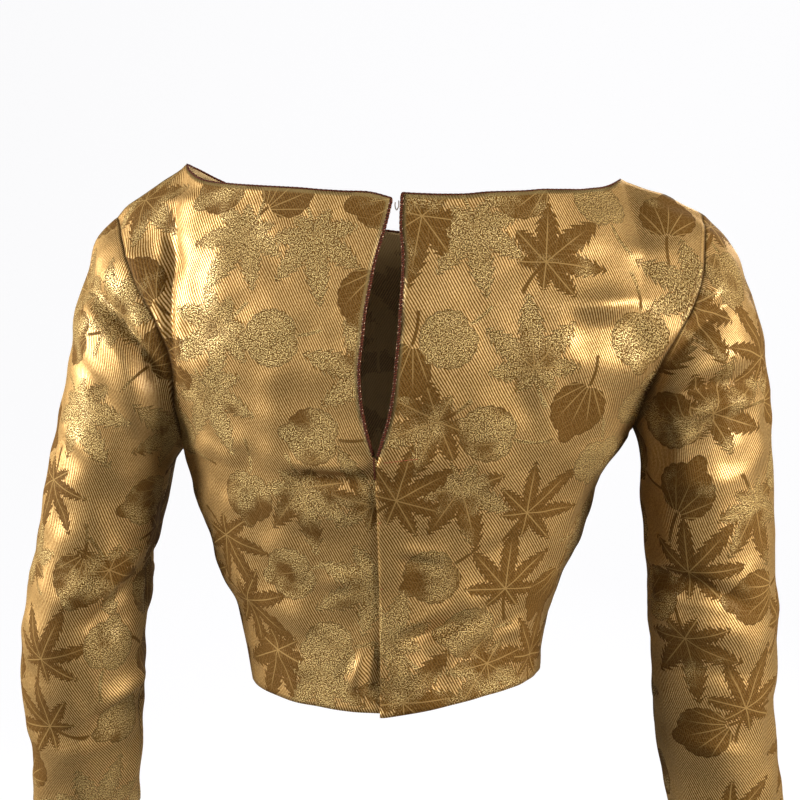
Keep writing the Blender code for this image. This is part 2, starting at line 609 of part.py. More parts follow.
def main():
    for old in list(bpy.data.objects):
        bpy.data.objects.remove(old, do_unlink=True)
    collection = bpy.data.collections.new("boat_neck_blouse")
    bpy.context.scene.collection.children.link(collection)
    brocade = cloth_material("gold_brocade", (0.38, 0.24, 0.085), 0.42, 0.25)
    cord = cloth_material("maroon_cord", (0.045, 0.008, 0.006), 0.7, 0.0)
    thread = cloth_material("pale_thread", (0.6, 0.45, 0.3), 0.6, 0.0)
    grids, normals = draped_grids()
    walls = {}
    for name, (grid, mirrored) in grids.items():
        outer = grid + seam_pull(name, grid, mirrored, normals[name])
        inner = outer - normals[name] * CLOTH
        walls[name] = (outer, inner, normals[name], mirrored)
        cloth_wall(name, outer, inner, mirrored, brocade, collection)
    neck_cords(walls, cord, collection)
    closing_loop(walls, thread, collection)


main()
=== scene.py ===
"""Looks of the boat neck blouse: leaf brocade, seams, darts, piped neck and slit, studio light.

Metres, +Z up. The wearer faces -Y, the back of the blouse faces +Y and the wearer's left is +X.
The cloth's form comes from the same tables as the solids, on finer grids and with finer folds.
"""
import bpy
import math
import numpy as np
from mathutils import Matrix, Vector


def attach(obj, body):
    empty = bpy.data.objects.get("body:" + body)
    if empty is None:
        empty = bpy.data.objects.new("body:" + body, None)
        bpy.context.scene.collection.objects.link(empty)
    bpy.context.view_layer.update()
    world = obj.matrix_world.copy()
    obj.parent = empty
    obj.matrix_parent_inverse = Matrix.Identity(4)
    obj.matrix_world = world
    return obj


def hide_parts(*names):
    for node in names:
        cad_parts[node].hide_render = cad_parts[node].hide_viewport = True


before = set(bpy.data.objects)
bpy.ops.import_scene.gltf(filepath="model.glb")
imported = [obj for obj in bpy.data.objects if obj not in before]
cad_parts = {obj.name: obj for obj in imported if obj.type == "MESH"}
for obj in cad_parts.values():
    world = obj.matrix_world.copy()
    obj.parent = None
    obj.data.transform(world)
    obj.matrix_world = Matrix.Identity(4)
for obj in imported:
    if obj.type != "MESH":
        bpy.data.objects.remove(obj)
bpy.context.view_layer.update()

# Camera at the photograph's angle
CAMERA_TARGET = (0.0, 0.0, -0.135)
CAMERA_AZIMUTH = 188      # degrees
CAMERA_ELEVATION = 10
CAMERA_DISTANCE = 1.25
CAMERA_LENS = 85.23       # mm on a 36 mm sensor


def linked(name, data):
    piece = bpy.data.objects.new(name, data)
    bpy.context.scene.collection.objects.link(piece)
    return piece


def aim(thing, place):
    """Put a camera or a light at a place, pointed at the blouse."""
    thing.location = place
    way = Vector(CAMERA_TARGET) - Vector(place)
    thing.rotation_euler = way.to_track_quat("-Z", "Y").to_euler()


def place_camera():
    azimuth = math.radians(CAMERA_AZIMUTH)
    elevation = math.radians(CAMERA_ELEVATION)
    away = Vector((math.sin(azimuth) * math.cos(elevation),
                   -math.cos(azimuth) * math.cos(elevation), math.sin(elevation)))
    data = bpy.data.cameras.new("camera")
    data.lens = CAMERA_LENS
    data.sensor_width = 36
    camera = linked("camera", data)
    aim(camera, Vector(CAMERA_TARGET) + away * CAMERA_DISTANCE)
    bpy.context.scene.camera = camera


place_camera()

# Cloth and seams
CLOTH = 0.0012            # thickness of the solids' walls
SHEET = 0.0008            # thickness of the cloth shown
TURNING = 0.0007          # the turned hem adds this on the inside
HEM_DEPTH = 0.016         # how far the hem is turned up
CUFF_DEPTH = 0.020
TURN_STEP = 0.0012        # over which a turning thins out
SEAM_DIP = 0.0008         # how deep a seam lies in the cloth
SEAM_WIDTH = 0.0020
LAP = 0.0017              # right back lies this far over the left back, outer face to outer face
CORD_RADIUS = 0.00105     # from the middle of the slit's cord to its stitches
CORD_SET = 0.0008         # middle of the slit's cord to the cloth's edge, sewn tight against it
SLIT_CORD = 0.00098       # radius of the twisted cord along the slit
NECK_CORD = 0.00062       # and of the fine piping along the neck
CLOSING_TOP = (-0.1625, -0.1540)   # height over which the closing turns into the slit

# How many cells each grid has
ROWS_LOW = 55             # hem to armpit
ROWS_HIGH = 60            # armpit to shoulder
NECK_COLS = 55            # slit or centre front to neck point
SHOULDER_COLS = 15        # neck point to shoulder tip
SLEEVE_ROWS = 115         # armhole to cuff
SLIT_FOOT = 5             # armpit to the slit's foot

LEFT = 1                  # wearer's left, +X
RIGHT = -1
BACK = 1                  # +Y
FRONT = -1

# How a row of the body bends from the centre to the side
ARMPIT_Z = -0.168         # height of the row that ends at the armpit
SIDE_TURN = 90            # degrees that a row turns by the side seam
ARMHOLE_TURN = 28         # degrees less above the armpit, where the armhole cuts in
ARMHOLE_EASE = 0.35       # share of the armhole's height over which it becomes less
FLATNESS = 0.92           # 1 is an ellipse, less is flatter in the middle
TOP_SHARE = 0.65          # upper share of the armhole's height that rises to the neck line
TOP_POWER = 1.7           # how late it rises
LAP_TOP = (-0.138, -0.156)         # height over which the lap begins
LAP_REACH = {LEFT: (0.022, 0.006), RIGHT: (-0.028, -0.012)}

# How the rings of a sleeve follow each other
RING_POWER = 1.15         # over 1 sets the rings closer together near the armhole
CAP_POWER = 1.6           # how soon the armhole's shape fades out
CAP_BLEND = 0.42          # share of the sleeve over which it fades

# Folds and cups
FOLD_POINTS = 41          # points along a fold's line
FOLD_TAPER = 0.07         # share of a fold's length that is left out of its fade at each end
FOLD_POWER = 0.7          # under 1 keeps a fold's height further along
FACING = 0.25             # slope of the cloth over which a fold fades round the side
CUP_SIDE = (0.136, 0.105)          # x over which a cup begins, in from the side seam
LARGE = 1.25              # the soft cloth shows its folds deeper than the solids do
FINE = 1.8

CORNER = 0.8              # how far the neck cord's corner stands out, 1 is square
LOOP_RADIUS = 0.00035
LOOP_CELLS = 48
LOOP_LEAN = 0.25          # the loop leans out of the back by this much of its drop
HEM_CENTRE = {LEFT: (-0.3260, -0.3330), RIGHT: (-0.3285, -0.3330)}     # heights at back and front
HEM_LIFT = {(RIGHT, BACK): 0.0080}          # the hem rises by this halfway to the side seam
CLOSING_X = 0.0025        # edge of the right back, which lies on top
UNDERLAP_X = -0.0095      # edge of the left back, under the right one
DART_DIP = 0.0009
DART_WIDTH = 0.0024

# Leaf motifs woven in the cloth. Kind, length from base to tip, middle of the leaf above its
# base as a share of that length, and half its spread
BROAD = 0
SLENDER = 1
ROUND = 2
LEAF_SIZE = {BROAD: (0.046, 0.30, 0.026), SLENDER: (0.046, 0.26, 0.026), ROUND: (0.040, 0.50, 0.020)}
MOST_GLITTER = 0.95       # kind and glitter share one number, the glitter as its fraction
LEAF_SPACING = 0.043      # between the middles of the leaves that fill the rest
LEAF_SEED = 11
LEAF_TRIES = 6000
SLENDER_GLITTER = 0.12
GLITTER = (0.25, 0.8)     # least and most on the other kinds
BACKWARD = 0.1            # from this y of its normal on, cloth faces backward
NO_LEAF = 9.0             # a place far outside every leaf, for the rims
NOT_HERE = 1.0            # a distance from a seam or edge that a piece doesn't have


# The tables below are in millimetres
def metres(rows, last=None):
    """Rows in metres. The columns from last on are not lengths."""
    return [tuple(v / 1000 for v in row[:last]) + row[len(row[:last]):] for row in rows]


def keyed_metres(table, last=None):
    return {key: metres(rows, last) for key, rows in table.items()}


# Centre line of the body. Columns: z, back y, front y
CENTRE = metres([
    (10, 67, -50), (-30, 78, -60), (-60, 87, -74), (-100, 94, -97), (-150, 94, -119), (-195, 85, -128),
    (-240, 77, -121), (-290, 72, -110), (-335, 75, -106),
])

# Side seams from the armpit down. Columns: x, y, z
SIDE_SEAM = keyed_metres({
    LEFT: [
        (143, 0, -168), (140, -1, -186), (136, -2, -205), (130.2, -3, -224), (122.8, -5, -250),
        (115.5, -6, -267), (108.8, -8, -286), (105.8, -9, -303), (103.2, -10, -317), (101, -12, -327),
    ],
    RIGHT: [
        (-152, 0, -150), (-145.5, -1, -158), (-138.5, -2, -168), (-129.5, -3, -189), (-124.5, -4, -207),
        (-118, -5, -223), (-107.7, -7, -249), (-101, -8, -268), (-97, -10, -288), (-94.5, -11, -304),
        (-94, -12, -317),
    ],
})

# Armholes from the shoulder tip down to the armpit. Columns: x, y, z
ARMHOLE = keyed_metres({
    (LEFT, BACK): [
        (190, 0, -16), (180.5, 22, -29), (171, 40, -43), (158, 52, -66), (148, 57, -84),
        (142.5, 57, -104), (141.8, 48, -130), (142.5, 30, -153), (143, 13, -165), (143, 0, -168),
    ],
    (LEFT, FRONT): [
        (190, 0, -16), (180, -20, -30), (169, -36, -50), (158, -46, -75), (150.5, -50, -100),
        (145.5, -44, -127), (143.5, -30, -150), (143, -14, -164), (143, 0, -168),
    ],
    (RIGHT, BACK): [
        (-194, 0, -10), (-196, 22, -22), (-195, 38, -40), (-190, 49, -60), (-181, 56, -80),
        (-171, 56, -100), (-163, 46, -122), (-155.5, 28, -141), (-152.5, 12, -148), (-152, 0, -150),
    ],
    (RIGHT, FRONT): [
        (-194, 0, -10), (-190, -20, -26), (-182, -36, -48), (-171.5, -46, -74), (-163, -48, -98),
        (-156.5, -41, -120), (-153, -26, -138), (-152, -12, -147), (-152, 0, -150),
    ],
})

# Neck edge from the centre to the neck point. Columns: x, y, z
NECK = keyed_metres({
    (LEFT, BACK): [
        (-3.7, 69, 2.2), (8, 69, 5.2), (30, 67.5, 6.2), (65, 60, 7.8), (100, 47, 8.8), (122, 33, 10),
        (135.5, 16, 14), (142, 0, 18.4),
    ],
    (LEFT, FRONT): [
        (0, -58, -30), (35, -56, -26), (70, -49, -17), (102, -37.5, -5), (125, -25, 6), (137, -12, 14),
        (142, 0, 18.4),
    ],
    (RIGHT, BACK): [
        (-11.7, 69, 5.4), (-33, 67.5, 4.4), (-70, 60, 6.2), (-102, 46.5, 6.6), (-123, 32, 7),
        (-136.5, 15, 8), (-141.8, 0, 10),
    ],
    (RIGHT, FRONT): [
        (0, -58, -30), (-37, -56, -26.5), (-74, -49, -18), (-104, -37.5, -8), (-126, -25, 1),
        (-137, -12, 7), (-141.8, 0, 10),
    ],
})

# Shoulder seams from the neck point out. Columns: x, y, z
SHOULDER = keyed_metres({
    LEFT: [
        (142, 0, 18.4), (157.6, 0, 9.5), (169, 0, 1.8), (179, 0, -5.8), (190, 0, -16),
    ],
    RIGHT: [
        (-141.8, 0, 10), (-157, 0, 6.8), (-171, 0, 2.2), (-180, 0, -2.4), (-194, 0, -10),
    ],
})

# Keyhole slit: middle of the cord on each side. Columns: z, left x, right x
SLIT = metres([
    (6, -5.6, -10.4), (-15, -1.2, -10.8), (-31.5, 3.4, -12.8), (-47, 6.4, -13), (-65, 9, -12.6),
    (-85, 10.7, -11.7), (-98, 12.1, -10.7), (-114, 11.5, -9.3), (-130, 9.6, -6.6), (-144, 6.3, -2.6),
    (-154, 3.6, 0.6),
])

# Thread loop that hangs between the tops of the two cords. Columns: x, z
LOOP = metres([
    (-6.65, 0), (-6.7, -2.6), (-7.7, -4.6), (-8.7, -3), (-8.8, 1),
])

# Sleeves, ring by ring from the armhole to the cuff. Columns: outer x, outer z, inner x,
# inner z, middle y, half depth, tilt of the ring in degrees (back edge lower)
SLEEVE = keyed_metres({
    LEFT: [
        (190, -16, 143, -168, 3, 53.5, 0), (202.6, -28, 146.5, -172, 3, 54, 0),
        (210.7, -52, 149.5, -176, 3, 54, 0), (218.5, -78, 152.5, -181, 3, 53.5, 0),
        (224, -108, 155.5, -189, 3, 53, 0), (232.5, -155, 160.2, -205, 2, 51.5, 0),
        (244, -205, 165.5, -230, 0, 50, 1), (254, -252, 172.2, -262, -3, 49, 2),
        (262.9, -292, 179, -296, -6, 48, 4), (267.5, -325, 182.2, -329, -11, 46.5, 8),
        (267.5, -358, 186.7, -363, -17, 44.5, 10), (265.8, -393, 190.7, -400, -24, 42.5, 12),
        (271.2, -430, 194.6, -438, -32, 40.8, 12),
    ],
    RIGHT: [
        (-194, -10, -152, -150, 3, 53, 0), (-212.4, -30, -154.2, -155, 3, 54, 0),
        (-223.5, -52, -156, -161, 3, 54, 0), (-232.5, -82, -157.2, -170, 3, 53.5, 0),
        (-238, -118, -158.5, -184, 3, 52.5, 0), (-242.5, -172, -160.7, -206, 2, 51, 0),
        (-245.7, -220, -163.2, -236, 0, 49.5, 1), (-249, -262, -165.5, -270, -3, 48, 2),
        (-250.8, -305, -167.2, -309, -7, 46.5, 4), (-251.4, -350, -171, -353, -13, 44.5, 6),
        (-255.5, -380, -176.5, -382, -18, 43, 8), (-259, -410, -181.5, -411, -23, 41.5, 8),
    ],
}, 6)

# Front cups: soft fullness taken in by the darts. Columns: x, z, radius, height
CUPS = metres([
    (76, -188, 50, 17), (-76, -188, 50, 17),
])

# Folds: the face they lie on and their strength, then columns x0, z0, x1, z1, sideways
# bend, half width, height (a ridge has a height over 0, a trough under 0)
CREASES = [
    (BACK, LARGE, [
        (160, -6, 118, -8, 0, 10, 2), (145, -40, 144, -122, 3, 10, -3.5),
        (160, -33, 129, -48, 2, 10, -2.2), (85, -160, 6, -159, 3, 10, 1.6),
        (85, -172, 6, -169, 3, 10, -1.6), (10.5, -280, 20, -312, 1, 10, 2),
        (105, -215, 50, -250, 4, 10, -2), (100, -250, 45, -275, 3, 10, 1.8),
        (-105, -60, -166, -58, 3, 10, 2.8), (-110, -79, -164, -80, 2, 10, -2),
        (-11, -269, -42, -248, 2, 10, 2.2), (-11, -279, -62, -260, 3, 10, -3),
        (-16, -288, -64, -272, 2, 10, 2.2), (-100, -200, -50, -235, -4, 10, -2.2),
        (-90, -235, -45, -256, -3, 10, 1.8), (202, -56, 146, -122, -6, 10, -4),
        (212, -80, 160, -145, -6, 10, 3), (160, -238, 212, -295, -6, 10, -4.5),
        (178, -225, 232, -278, -6, 10, 3), (177, -324, 208, -352, -3, 10, 3),
        (184, -348, 220, -368, -3, 10, -2.8), (-160, -120, -220, -56, -8, 10, -4.5),
        (-168, -105, -212, -50, -6, 10, 3.4), (-154, -134.5, -232, -110, -8, 10, -4.8),
        (-168, -129, -224, -90, -6, 10, 3.2), (-175, -152, -226, -133, -4, 10, -3),
        (-170, -245, -230, -260, -5, 10, -3), (-172, -270, -235, -274, -4, 11, 2.6),
    ]),
    (FRONT, LARGE, [
        (142, -120, 98, -155, 4, 10, -3), (-150, -110, -102, -150, -4, 10, -3),
        (118, -250, 70, -270, 3, 10, -2.2), (-112, -240, -65, -265, -3, 10, -2.2),
        (150, -125, 212, -95, 6, 10, -4), (170, -245, 240, -260, 4, 10, -4.2),
        (174, -275, 245, -288, 4, 11, 3), (-160, -115, -226, -85, -6, 10, -4),
        (-166, -230, -235, -245, -4, 10, -4.2), (-170, -262, -236, -272, -4, 11, 3),
    ]),
    (BACK, FINE, [
        (54, -160.6, 6.8, -159.3, 2, 3.5, 1.7), (56, -169.2, 6.8, -167.5, 2, 3.6, -1.8),
        (38, -179, 8, -176.5, 2, 4, 0.8), (10.5, -284.5, 19, -310, 1, 3.6, 1.8),
        (6, -289, 10, -313, 1, 3, -1.4), (19, -286, 29, -308, 1, 3.6, -1.1), (40, -242, 8, -229, 2, 4, 1),
        (62, -205, 30, -213, 3, 5, -0.8), (86, -290, 48, -302, 2, 4.5, 1),
        (160.4, -5.5, 124, -0.7, 1, 4, 1.1), (146.1, -19.8, 138, -39.3, 1, 4.5, -1.3),
        (140.5, -30, 139, -113, 1, 3.2, -2.4), (149, -24, 147.5, -100, 1, 4.6, 1.2),
        (208, -62, 150, -113, -7, 3.2, -1.7), (130, -90, 106, -118, 3, 5.5, 0.8),
        (120, -145, 80, -162, 4, 6, -1), (30, -10, 90, -16, 3, 6, -0.7),
        (-111.7, -59.4, -165.6, -58.5, 2, 4.5, 1.3), (-120, -70, -164, -72, 2, 4.2, -1.1),
        (-135, -26, -176, -30, 3, 5, 0.8), (-13.3, -268.9, -33.7, -253.6, 2, 3.6, 1.8),
        (-13.3, -278.1, -54.1, -264.6, 2, 3.2, -2.1), (-21.6, -281.1, -54.7, -269.8, 2, 3.8, 1.7),
        (-42, -292, -74, -270, 3, 5, -1.7), (-64, -279, -86, -270, 2, 5, 1.4),
        (-13, -299, -42, -288, 2, 4.2, 1.1), (-12.8, -216.4, -32, -215.8, 1, 3.6, 1.4),
        (-12.8, -224, -38, -225, 1, 3.6, -1.4), (-10, -164, -38, -150, 2, 4.5, 1.1),
        (-12, -133, -30, -121, 2, 5, -1.4), (-92, -212, -56, -226, 3, 5.5, -0.8),
        (197.4, -62, 148.4, -119.6, -5, 4.2, -2), (206, -68, 160, -124, -5, 4.5, 1.4),
        (215, -100, 166, -156, -5, 5.5, -1.3), (226, -150, 180, -182, -4, 6, 1.1),
        (159.8, -237.9, 205.5, -287.6, -5, 4.2, -2.1), (169, -233, 218, -282, -5, 4.5, 1.5),
        (175, -276, 215, -308, -4, 4.5, -1.4), (177.1, -324.5, 200, -345, -3, 4, 1.7),
        (183, -339, 208, -358, -3, 3.6, -1.7), (190, -370, 238, -385, -3, 6, 1),
        (220, -210, 248, -250, -3, 6, -0.8), (-163.8, -119.3, -217.8, -57, -9, 4.2, -2.1),
        (-170, -104, -213, -53, -6, 4.5, 1.4), (-154.8, -133.5, -230.4, -111.4, -8, 4.2, -2.2),
        (-164, -143, -234, -122, -7, 4.8, 1.5), (-189.7, -144.7, -220, -132, -3, 4, -1.5),
        (-175, -180, -228, -170, -4, 6, 1), (-168, -238, -226, -254, -5, 4.5, -1.8),
        (-170, -252, -232, -264, -5, 4.8, 1.4), (-176, -300, -230, -306, -4, 5.5, -1.1),
        (-180, -350, -232, -362, -4, 5.5, 1),
    ]),
    (FRONT, FINE, [
        (138, -125, 102, -152, 3, 4.5, -1.7), (136, -108, 106, -130, 3, 5, 1.3),
        (-142, -117, -106, -147, -3, 4.5, -1.7), (-140, -98, -108, -124, -3, 5, 1.3),
        (30, -175, -28, -177, 3, 6, -1.4), (24, -192, -22, -194, 3, 5.5, 1.1),
        (98, -256, 62, -276, 3, 5, -1.3), (-96, -252, -60, -270, -3, 5, -1.3),
        (38, -295, -20, -302, 3, 6, 1.1), (26, -272, -34, -278, 3, 6, -1.1),
        (90, -45, 48, -62, 3, 6, 0.8), (-98, -48, -56, -66, -3, 6, 0.8),
        (156, -126, 206, -100, 5, 4.5, -2), (164, -146, 216, -128, 5, 5, 1.4),
        (172, -244, 232, -258, 4, 4.5, -2), (174, -262, 238, -276, 4, 4.8, 1.5),
        (178, -292, 242, -300, 4, 5.5, -1.3), (182, -342, 236, -350, 3, 5.5, 1.1),
        (-166, -120, -220, -92, -5, 4.5, -2), (-168, -142, -226, -122, -5, 5, 1.4),
        (-166, -232, -228, -244, -4, 4.5, -2), (-170, -250, -232, -260, -4, 4.8, 1.4),
        (-172, -284, -236, -294, -4, 5.5, -1.3), (-178, -340, -240, -348, -3, 5.5, 1.1),
    ]),
]

# Two darts under each front cup, from the hem towards the cup. Columns: x0, z0, x1, z1
DARTS = metres([
    (56, -333, 70, -213), (82, -331, 80, -216), (-56, -333, -70, -213), (-80, -331, -80, -216),
])

# Leaves on the back, as the cloth shows them. Columns: x and z of the leaf's middle,
# direction of the tip in degrees clockwise from up, kind, share of glitter
LEAVES = keyed_metres({
    "back_left": [
        (41, -33, 172, BROAD, 0.75), (94, -31, 215, BROAD, 0.8), (68, -82, 262, ROUND, 0.8),
        (17, -99, 285, BROAD, 0.7), (8, -58, 200, ROUND, 0.4), (43, -142, 275, ROUND, 0.6),
        (88, -187, 190, ROUND, 0.55), (48, -190, 172, BROAD, 0.6), (9, -176, 330, SLENDER, 0.6),
        (102, -229, 150, SLENDER, 0.1), (61, -236, 255, ROUND, 0.6), (85, -268, 125, SLENDER, 0.1),
        (18, -246, 240, BROAD, 0.7), (36, -286, 260, ROUND, 0.7), (76, -306, 200, BROAD, 0.1),
        (41, -316, 170, BROAD, 0.7), (108, -132, 160, BROAD, 0.8),
    ],
    "back_right": [
        (-23, -20, 190, BROAD, 0.45), (-58, -27, 168, BROAD, 0.8), (-108, -27, 50, BROAD, 0.35),
        (-41, -80, 235, ROUND, 0.8), (-92, -85, 355, BROAD, 0.7), (-15, -102, 200, ROUND, 0.2),
        (-65, -140, 285, ROUND, 0.6), (-120, -126, 200, ROUND, 0.2), (-53, -186, 165, BROAD, 0.55),
        (-98, -187, 45, SLENDER, 0.1), (-20, -176, 60, SLENDER, 0.2), (-30, -233, 240, ROUND, 0.5),
        (-78, -233, 5, SLENDER, 0.15), (-99, -253, 200, ROUND, 0.2), (-53, -274, 265, ROUND, 0.6),
        (-92, -287, 10, SLENDER, 0.05), (-22, -308, 40, BROAD, 0.5), (-65, -309, 170, BROAD, 0.6),
        (-157, -81, 180, ROUND, 0.6), (-24, -136, 250, BROAD, 0.5),
    ],
    "sleeve_left": [
        (200, -148, 150, BROAD, 0.7), (229, -199, 200, SLENDER, 0.2), (187, -259, 160, BROAD, 0.5),
        (236, -302, 30, SLENDER, 0.1), (165, -200, 250, ROUND, 0.6), (210, -253, 200, ROUND, 0.5),
        (193, -363, 240, ROUND, 0.6),
    ],
    "sleeve_right": [
        (-197, -224, 40, SLENDER, 0.1), (-234, -203, 160, BROAD, 0.5), (-193, -290, 170, BROAD, 0.3),
        (-234, -314, 20, SLENDER, 0.1), (-232, -249, 260, ROUND, 0.4), (-201, -343, 250, ROUND, 0.3),
    ],
}, 2)


def smooth(low, high, value):
    """0 at low, 1 at high, with soft ends; low may be the larger one."""
    t = np.clip((np.asarray(value, float) - low) / (high - low), 0, 1)
    return t * t * (3 - 2 * t)


def unit(vectors):
    """Vectors of length 1; a zero vector stays zero."""
    return vectors / np.maximum(np.linalg.norm(vectors, axis=-1, keepdims=True), 1e-12)


def spline(table, key):
    """Smooth values of a table's other columns at a key of its first column."""
    rows = np.array(sorted(table), float)
    keys = rows[:, 0]
    values = rows[:, 1:]
    slopes = np.gradient(values, keys, axis=0)
    key = np.clip(np.atleast_1d(key), keys[0], keys[-1])
    cell = np.clip(np.searchsorted(keys, key) - 1, 0, len(keys) - 2)
    span = (keys[cell + 1] - keys[cell])[:, None]
    t = (key - keys[cell])[:, None] / span
    start = (1 + 2 * t) * (1 - t) ** 2 * values[cell] + t * (1 - t) ** 2 * span * slopes[cell]
    end = t * t * (3 - 2 * t) * values[cell + 1] - t * t * (1 - t) * span * slopes[cell + 1]
    return start + end


def along(points, cells):
    """A smooth curve through the points, as cells + 1 evenly spaced points."""
    points = np.array(points, float)
    length = steps_along(points, 0)
    fine = np.linspace(0, length[-1], 40 * len(points))
    curve = spline(np.column_stack([length, points]).tolist(), fine)
    walked = steps_along(curve, 0)
    even = np.linspace(0, walked[-1], cells + 1)
    return np.column_stack([np.interp(even, walked, curve[:, k]) for k in range(3)])


def slit_edge(side, z):
    """x of a back panel's centre edge: slit above its foot, closing below it."""
    cord = spline(SLIT, z)[0, 0 if side == LEFT else 1]
    return cord + side * CORD_SET


def torso_half(side, face):
    """Grid of half a body: rows go up from the hem, columns out from the centre."""
    cols = NECK_COLS + SHOULDER_COLS
    seam = along(SIDE_SEAM[side][::-1], ROWS_LOW)
    armhole = along(ARMHOLE[side, face][::-1], ROWS_HIGH)
    edge = np.vstack([seam, armhole[1:]])
    neck = along(NECK[side, face], NECK_COLS)
    shoulder = along(SHOULDER[side], SHOULDER_COLS)
    top = np.vstack([neck, shoulder[1:]])
    column = 0 if face == BACK else 1
    hem_z = HEM_CENTRE[side][column]
    grid = np.zeros((ROWS_LOW + ROWS_HIGH + 1, cols + 1, 3))
    for i, side_point in enumerate(edge):
        high = max(0, i - ROWS_LOW) / ROWS_HIGH
        if i <= ROWS_LOW:
            z = hem_z + (ARMPIT_Z - hem_z) * i / ROWS_LOW
        else:
            z = ARMPIT_Z + (top[0, 2] - ARMPIT_Z) * high
        depth = spline(CENTRE, z)[0, column]
        if face == FRONT:
            inner_x = 0.0
        else:
            closing = UNDERLAP_X if side == LEFT else CLOSING_X
            inner_x = closing + (slit_edge(side, z) - closing) * float(smooth(*CLOSING_TOP, z))
        turn = math.radians(SIDE_TURN - ARMHOLE_TURN * float(smooth(0, ARMHOLE_EASE, high)))
        start = math.asin(inner_x * math.sin(turn) / side_point[0])
        angle = np.linspace(start, turn, cols + 1)
        last = math.cos(turn) ** FLATNESS
        swing = (np.cos(angle) ** FLATNESS - last) / (1 - last)
        grid[i, :, 0] = side_point[0] * np.sin(angle) / math.sin(turn)
        grid[i, :, 1] = side_point[1] + (depth - side_point[1]) * swing
        grid[i, :, 2] = z + (side_point[2] - z) * (angle / turn) ** 2
        bow = np.sin(math.pi * np.maximum(angle, 0) / turn)
        grid[i, :, 2] += HEM_LIFT.get((side, face), 0) * bow * max(0, 1 - i / ROWS_LOW) ** 2
    gap = top - grid[-1]
    for i in range(ROWS_LOW, ROWS_LOW + ROWS_HIGH + 1):
        share = max(0, (i - ROWS_LOW) / ROWS_HIGH - 1 + TOP_SHARE) / TOP_SHARE
        grid[i] += gap * share ** TOP_POWER
    return grid


def sleeve_grid(side):
    """Rings from the armhole to the cuff, starting at the shoulder and turning backwards."""
    back = along(ARMHOLE[side, BACK], ROWS_HIGH)
    front = along(ARMHOLE[side, FRONT], ROWS_HIGH)
    loop = np.vstack([back, front[-2:0:-1]])
    count = len(loop)
    rings = np.array(SLEEVE[side], float)
    outer, inner = rings[:, :2], rings[:, 2:4]
    middle = np.column_stack([(outer + inner)[:, 0] / 2, rings[:, 4], (outer + inner)[:, 1] / 2])
    length = steps_along(middle, 0)
    table = np.column_stack([length / length[-1], rings]).tolist()
    angle = 2 * math.pi * np.arange(count) / count
    grid = np.zeros((SLEEVE_ROWS + 1, count, 3))
    for i in range(SLEEVE_ROWS + 1):
        share = (i / SLEEVE_ROWS) ** RING_POWER
        outer_x, outer_z, inner_x, inner_z, mid_y, half_y, tilt = spline(table, share)[0]
        tilt = math.radians(tilt)
        across = np.array([outer_x - inner_x, 0, outer_z - inner_z]) / 2
        deep = half_y * np.array([0, math.cos(tilt), -math.sin(tilt)])
        centre = np.array([(outer_x + inner_x) / 2, mid_y, (outer_z + inner_z) / 2])
        ring = centre + np.outer(np.cos(angle), across) + np.outer(np.sin(angle), deep)
        if i == 0:
            gap = loop - ring
        fade = max(0.0, 1 - share / CAP_BLEND) ** CAP_POWER
        grid[i] = ring + gap * fade
    return grid


def base_grids():
    """Outer faces of the five cut pieces before any fold. True marks a mirrored order."""
    front = np.hstack([torso_half(LEFT, FRONT)[:, ::-1], torso_half(RIGHT, FRONT)[:, 1:]])
    return {
        "back_left": (torso_half(LEFT, BACK), False),
        "back_right": (torso_half(RIGHT, BACK), True),
        "front": (front, False),
        "sleeve_left": (sleeve_grid(LEFT), False),
        "sleeve_right": (sleeve_grid(RIGHT), True),
    }


def closed_round(name):
    return name.startswith("sleeve")


def face_normals(name, grid, mirrored):
    """Unit outward normals at a piece's own points."""
    ring = np.concatenate([grid, grid[:, :1]], axis=1) if closed_round(name) else grid
    face = np.cross(ring[1:, 1:] - ring[:-1, :-1], ring[:-1, 1:] - ring[1:, :-1])
    face = -face if mirrored else face
    total = np.zeros_like(ring)
    for di in (0, 1):
        for dj in (0, 1):
            total[di:di + face.shape[0], dj:dj + face.shape[1]] += face
    if closed_round(name):
        total[:, 0] += total[:, -1]
        total = total[:, :-1]
    return unit(total)


def shared_normals(grids):
    """Outward normals that pieces share where their points meet at a seam."""
    points = np.vstack([grid.reshape(-1, 3) for grid, _ in grids.values()])
    _, group = np.unique(np.round(points, 6), axis=0, return_inverse=True)
    group = group.ravel()
    summed = {around: np.zeros((group.max() + 1, 3)) for around in (True, False)}
    spans = {}
    first = 0
    for name, (grid, mirrored) in grids.items():
        own = face_normals(name, grid, mirrored).reshape(-1, 3)
        spans[name] = group[first:first + len(own)]
        first += len(own)
        np.add.at(summed[closed_round(name)], spans[name], own)
    shared = unit(unit(summed[True]) + unit(summed[False]))
    for name, (grid, _) in grids.items():
        if closed_round(name):
            ring = spans[name][:grid.shape[1]]
            run = unit(np.roll(grid[0], -1, axis=0) - np.roll(grid[0], 1, axis=0))
            lean = (shared[ring] * run).sum(axis=1, keepdims=True)
            shared[ring] = unit(shared[ring] - lean * run)
    return {name: shared[spans[name]].reshape(grids[name][0].shape) for name in grids}


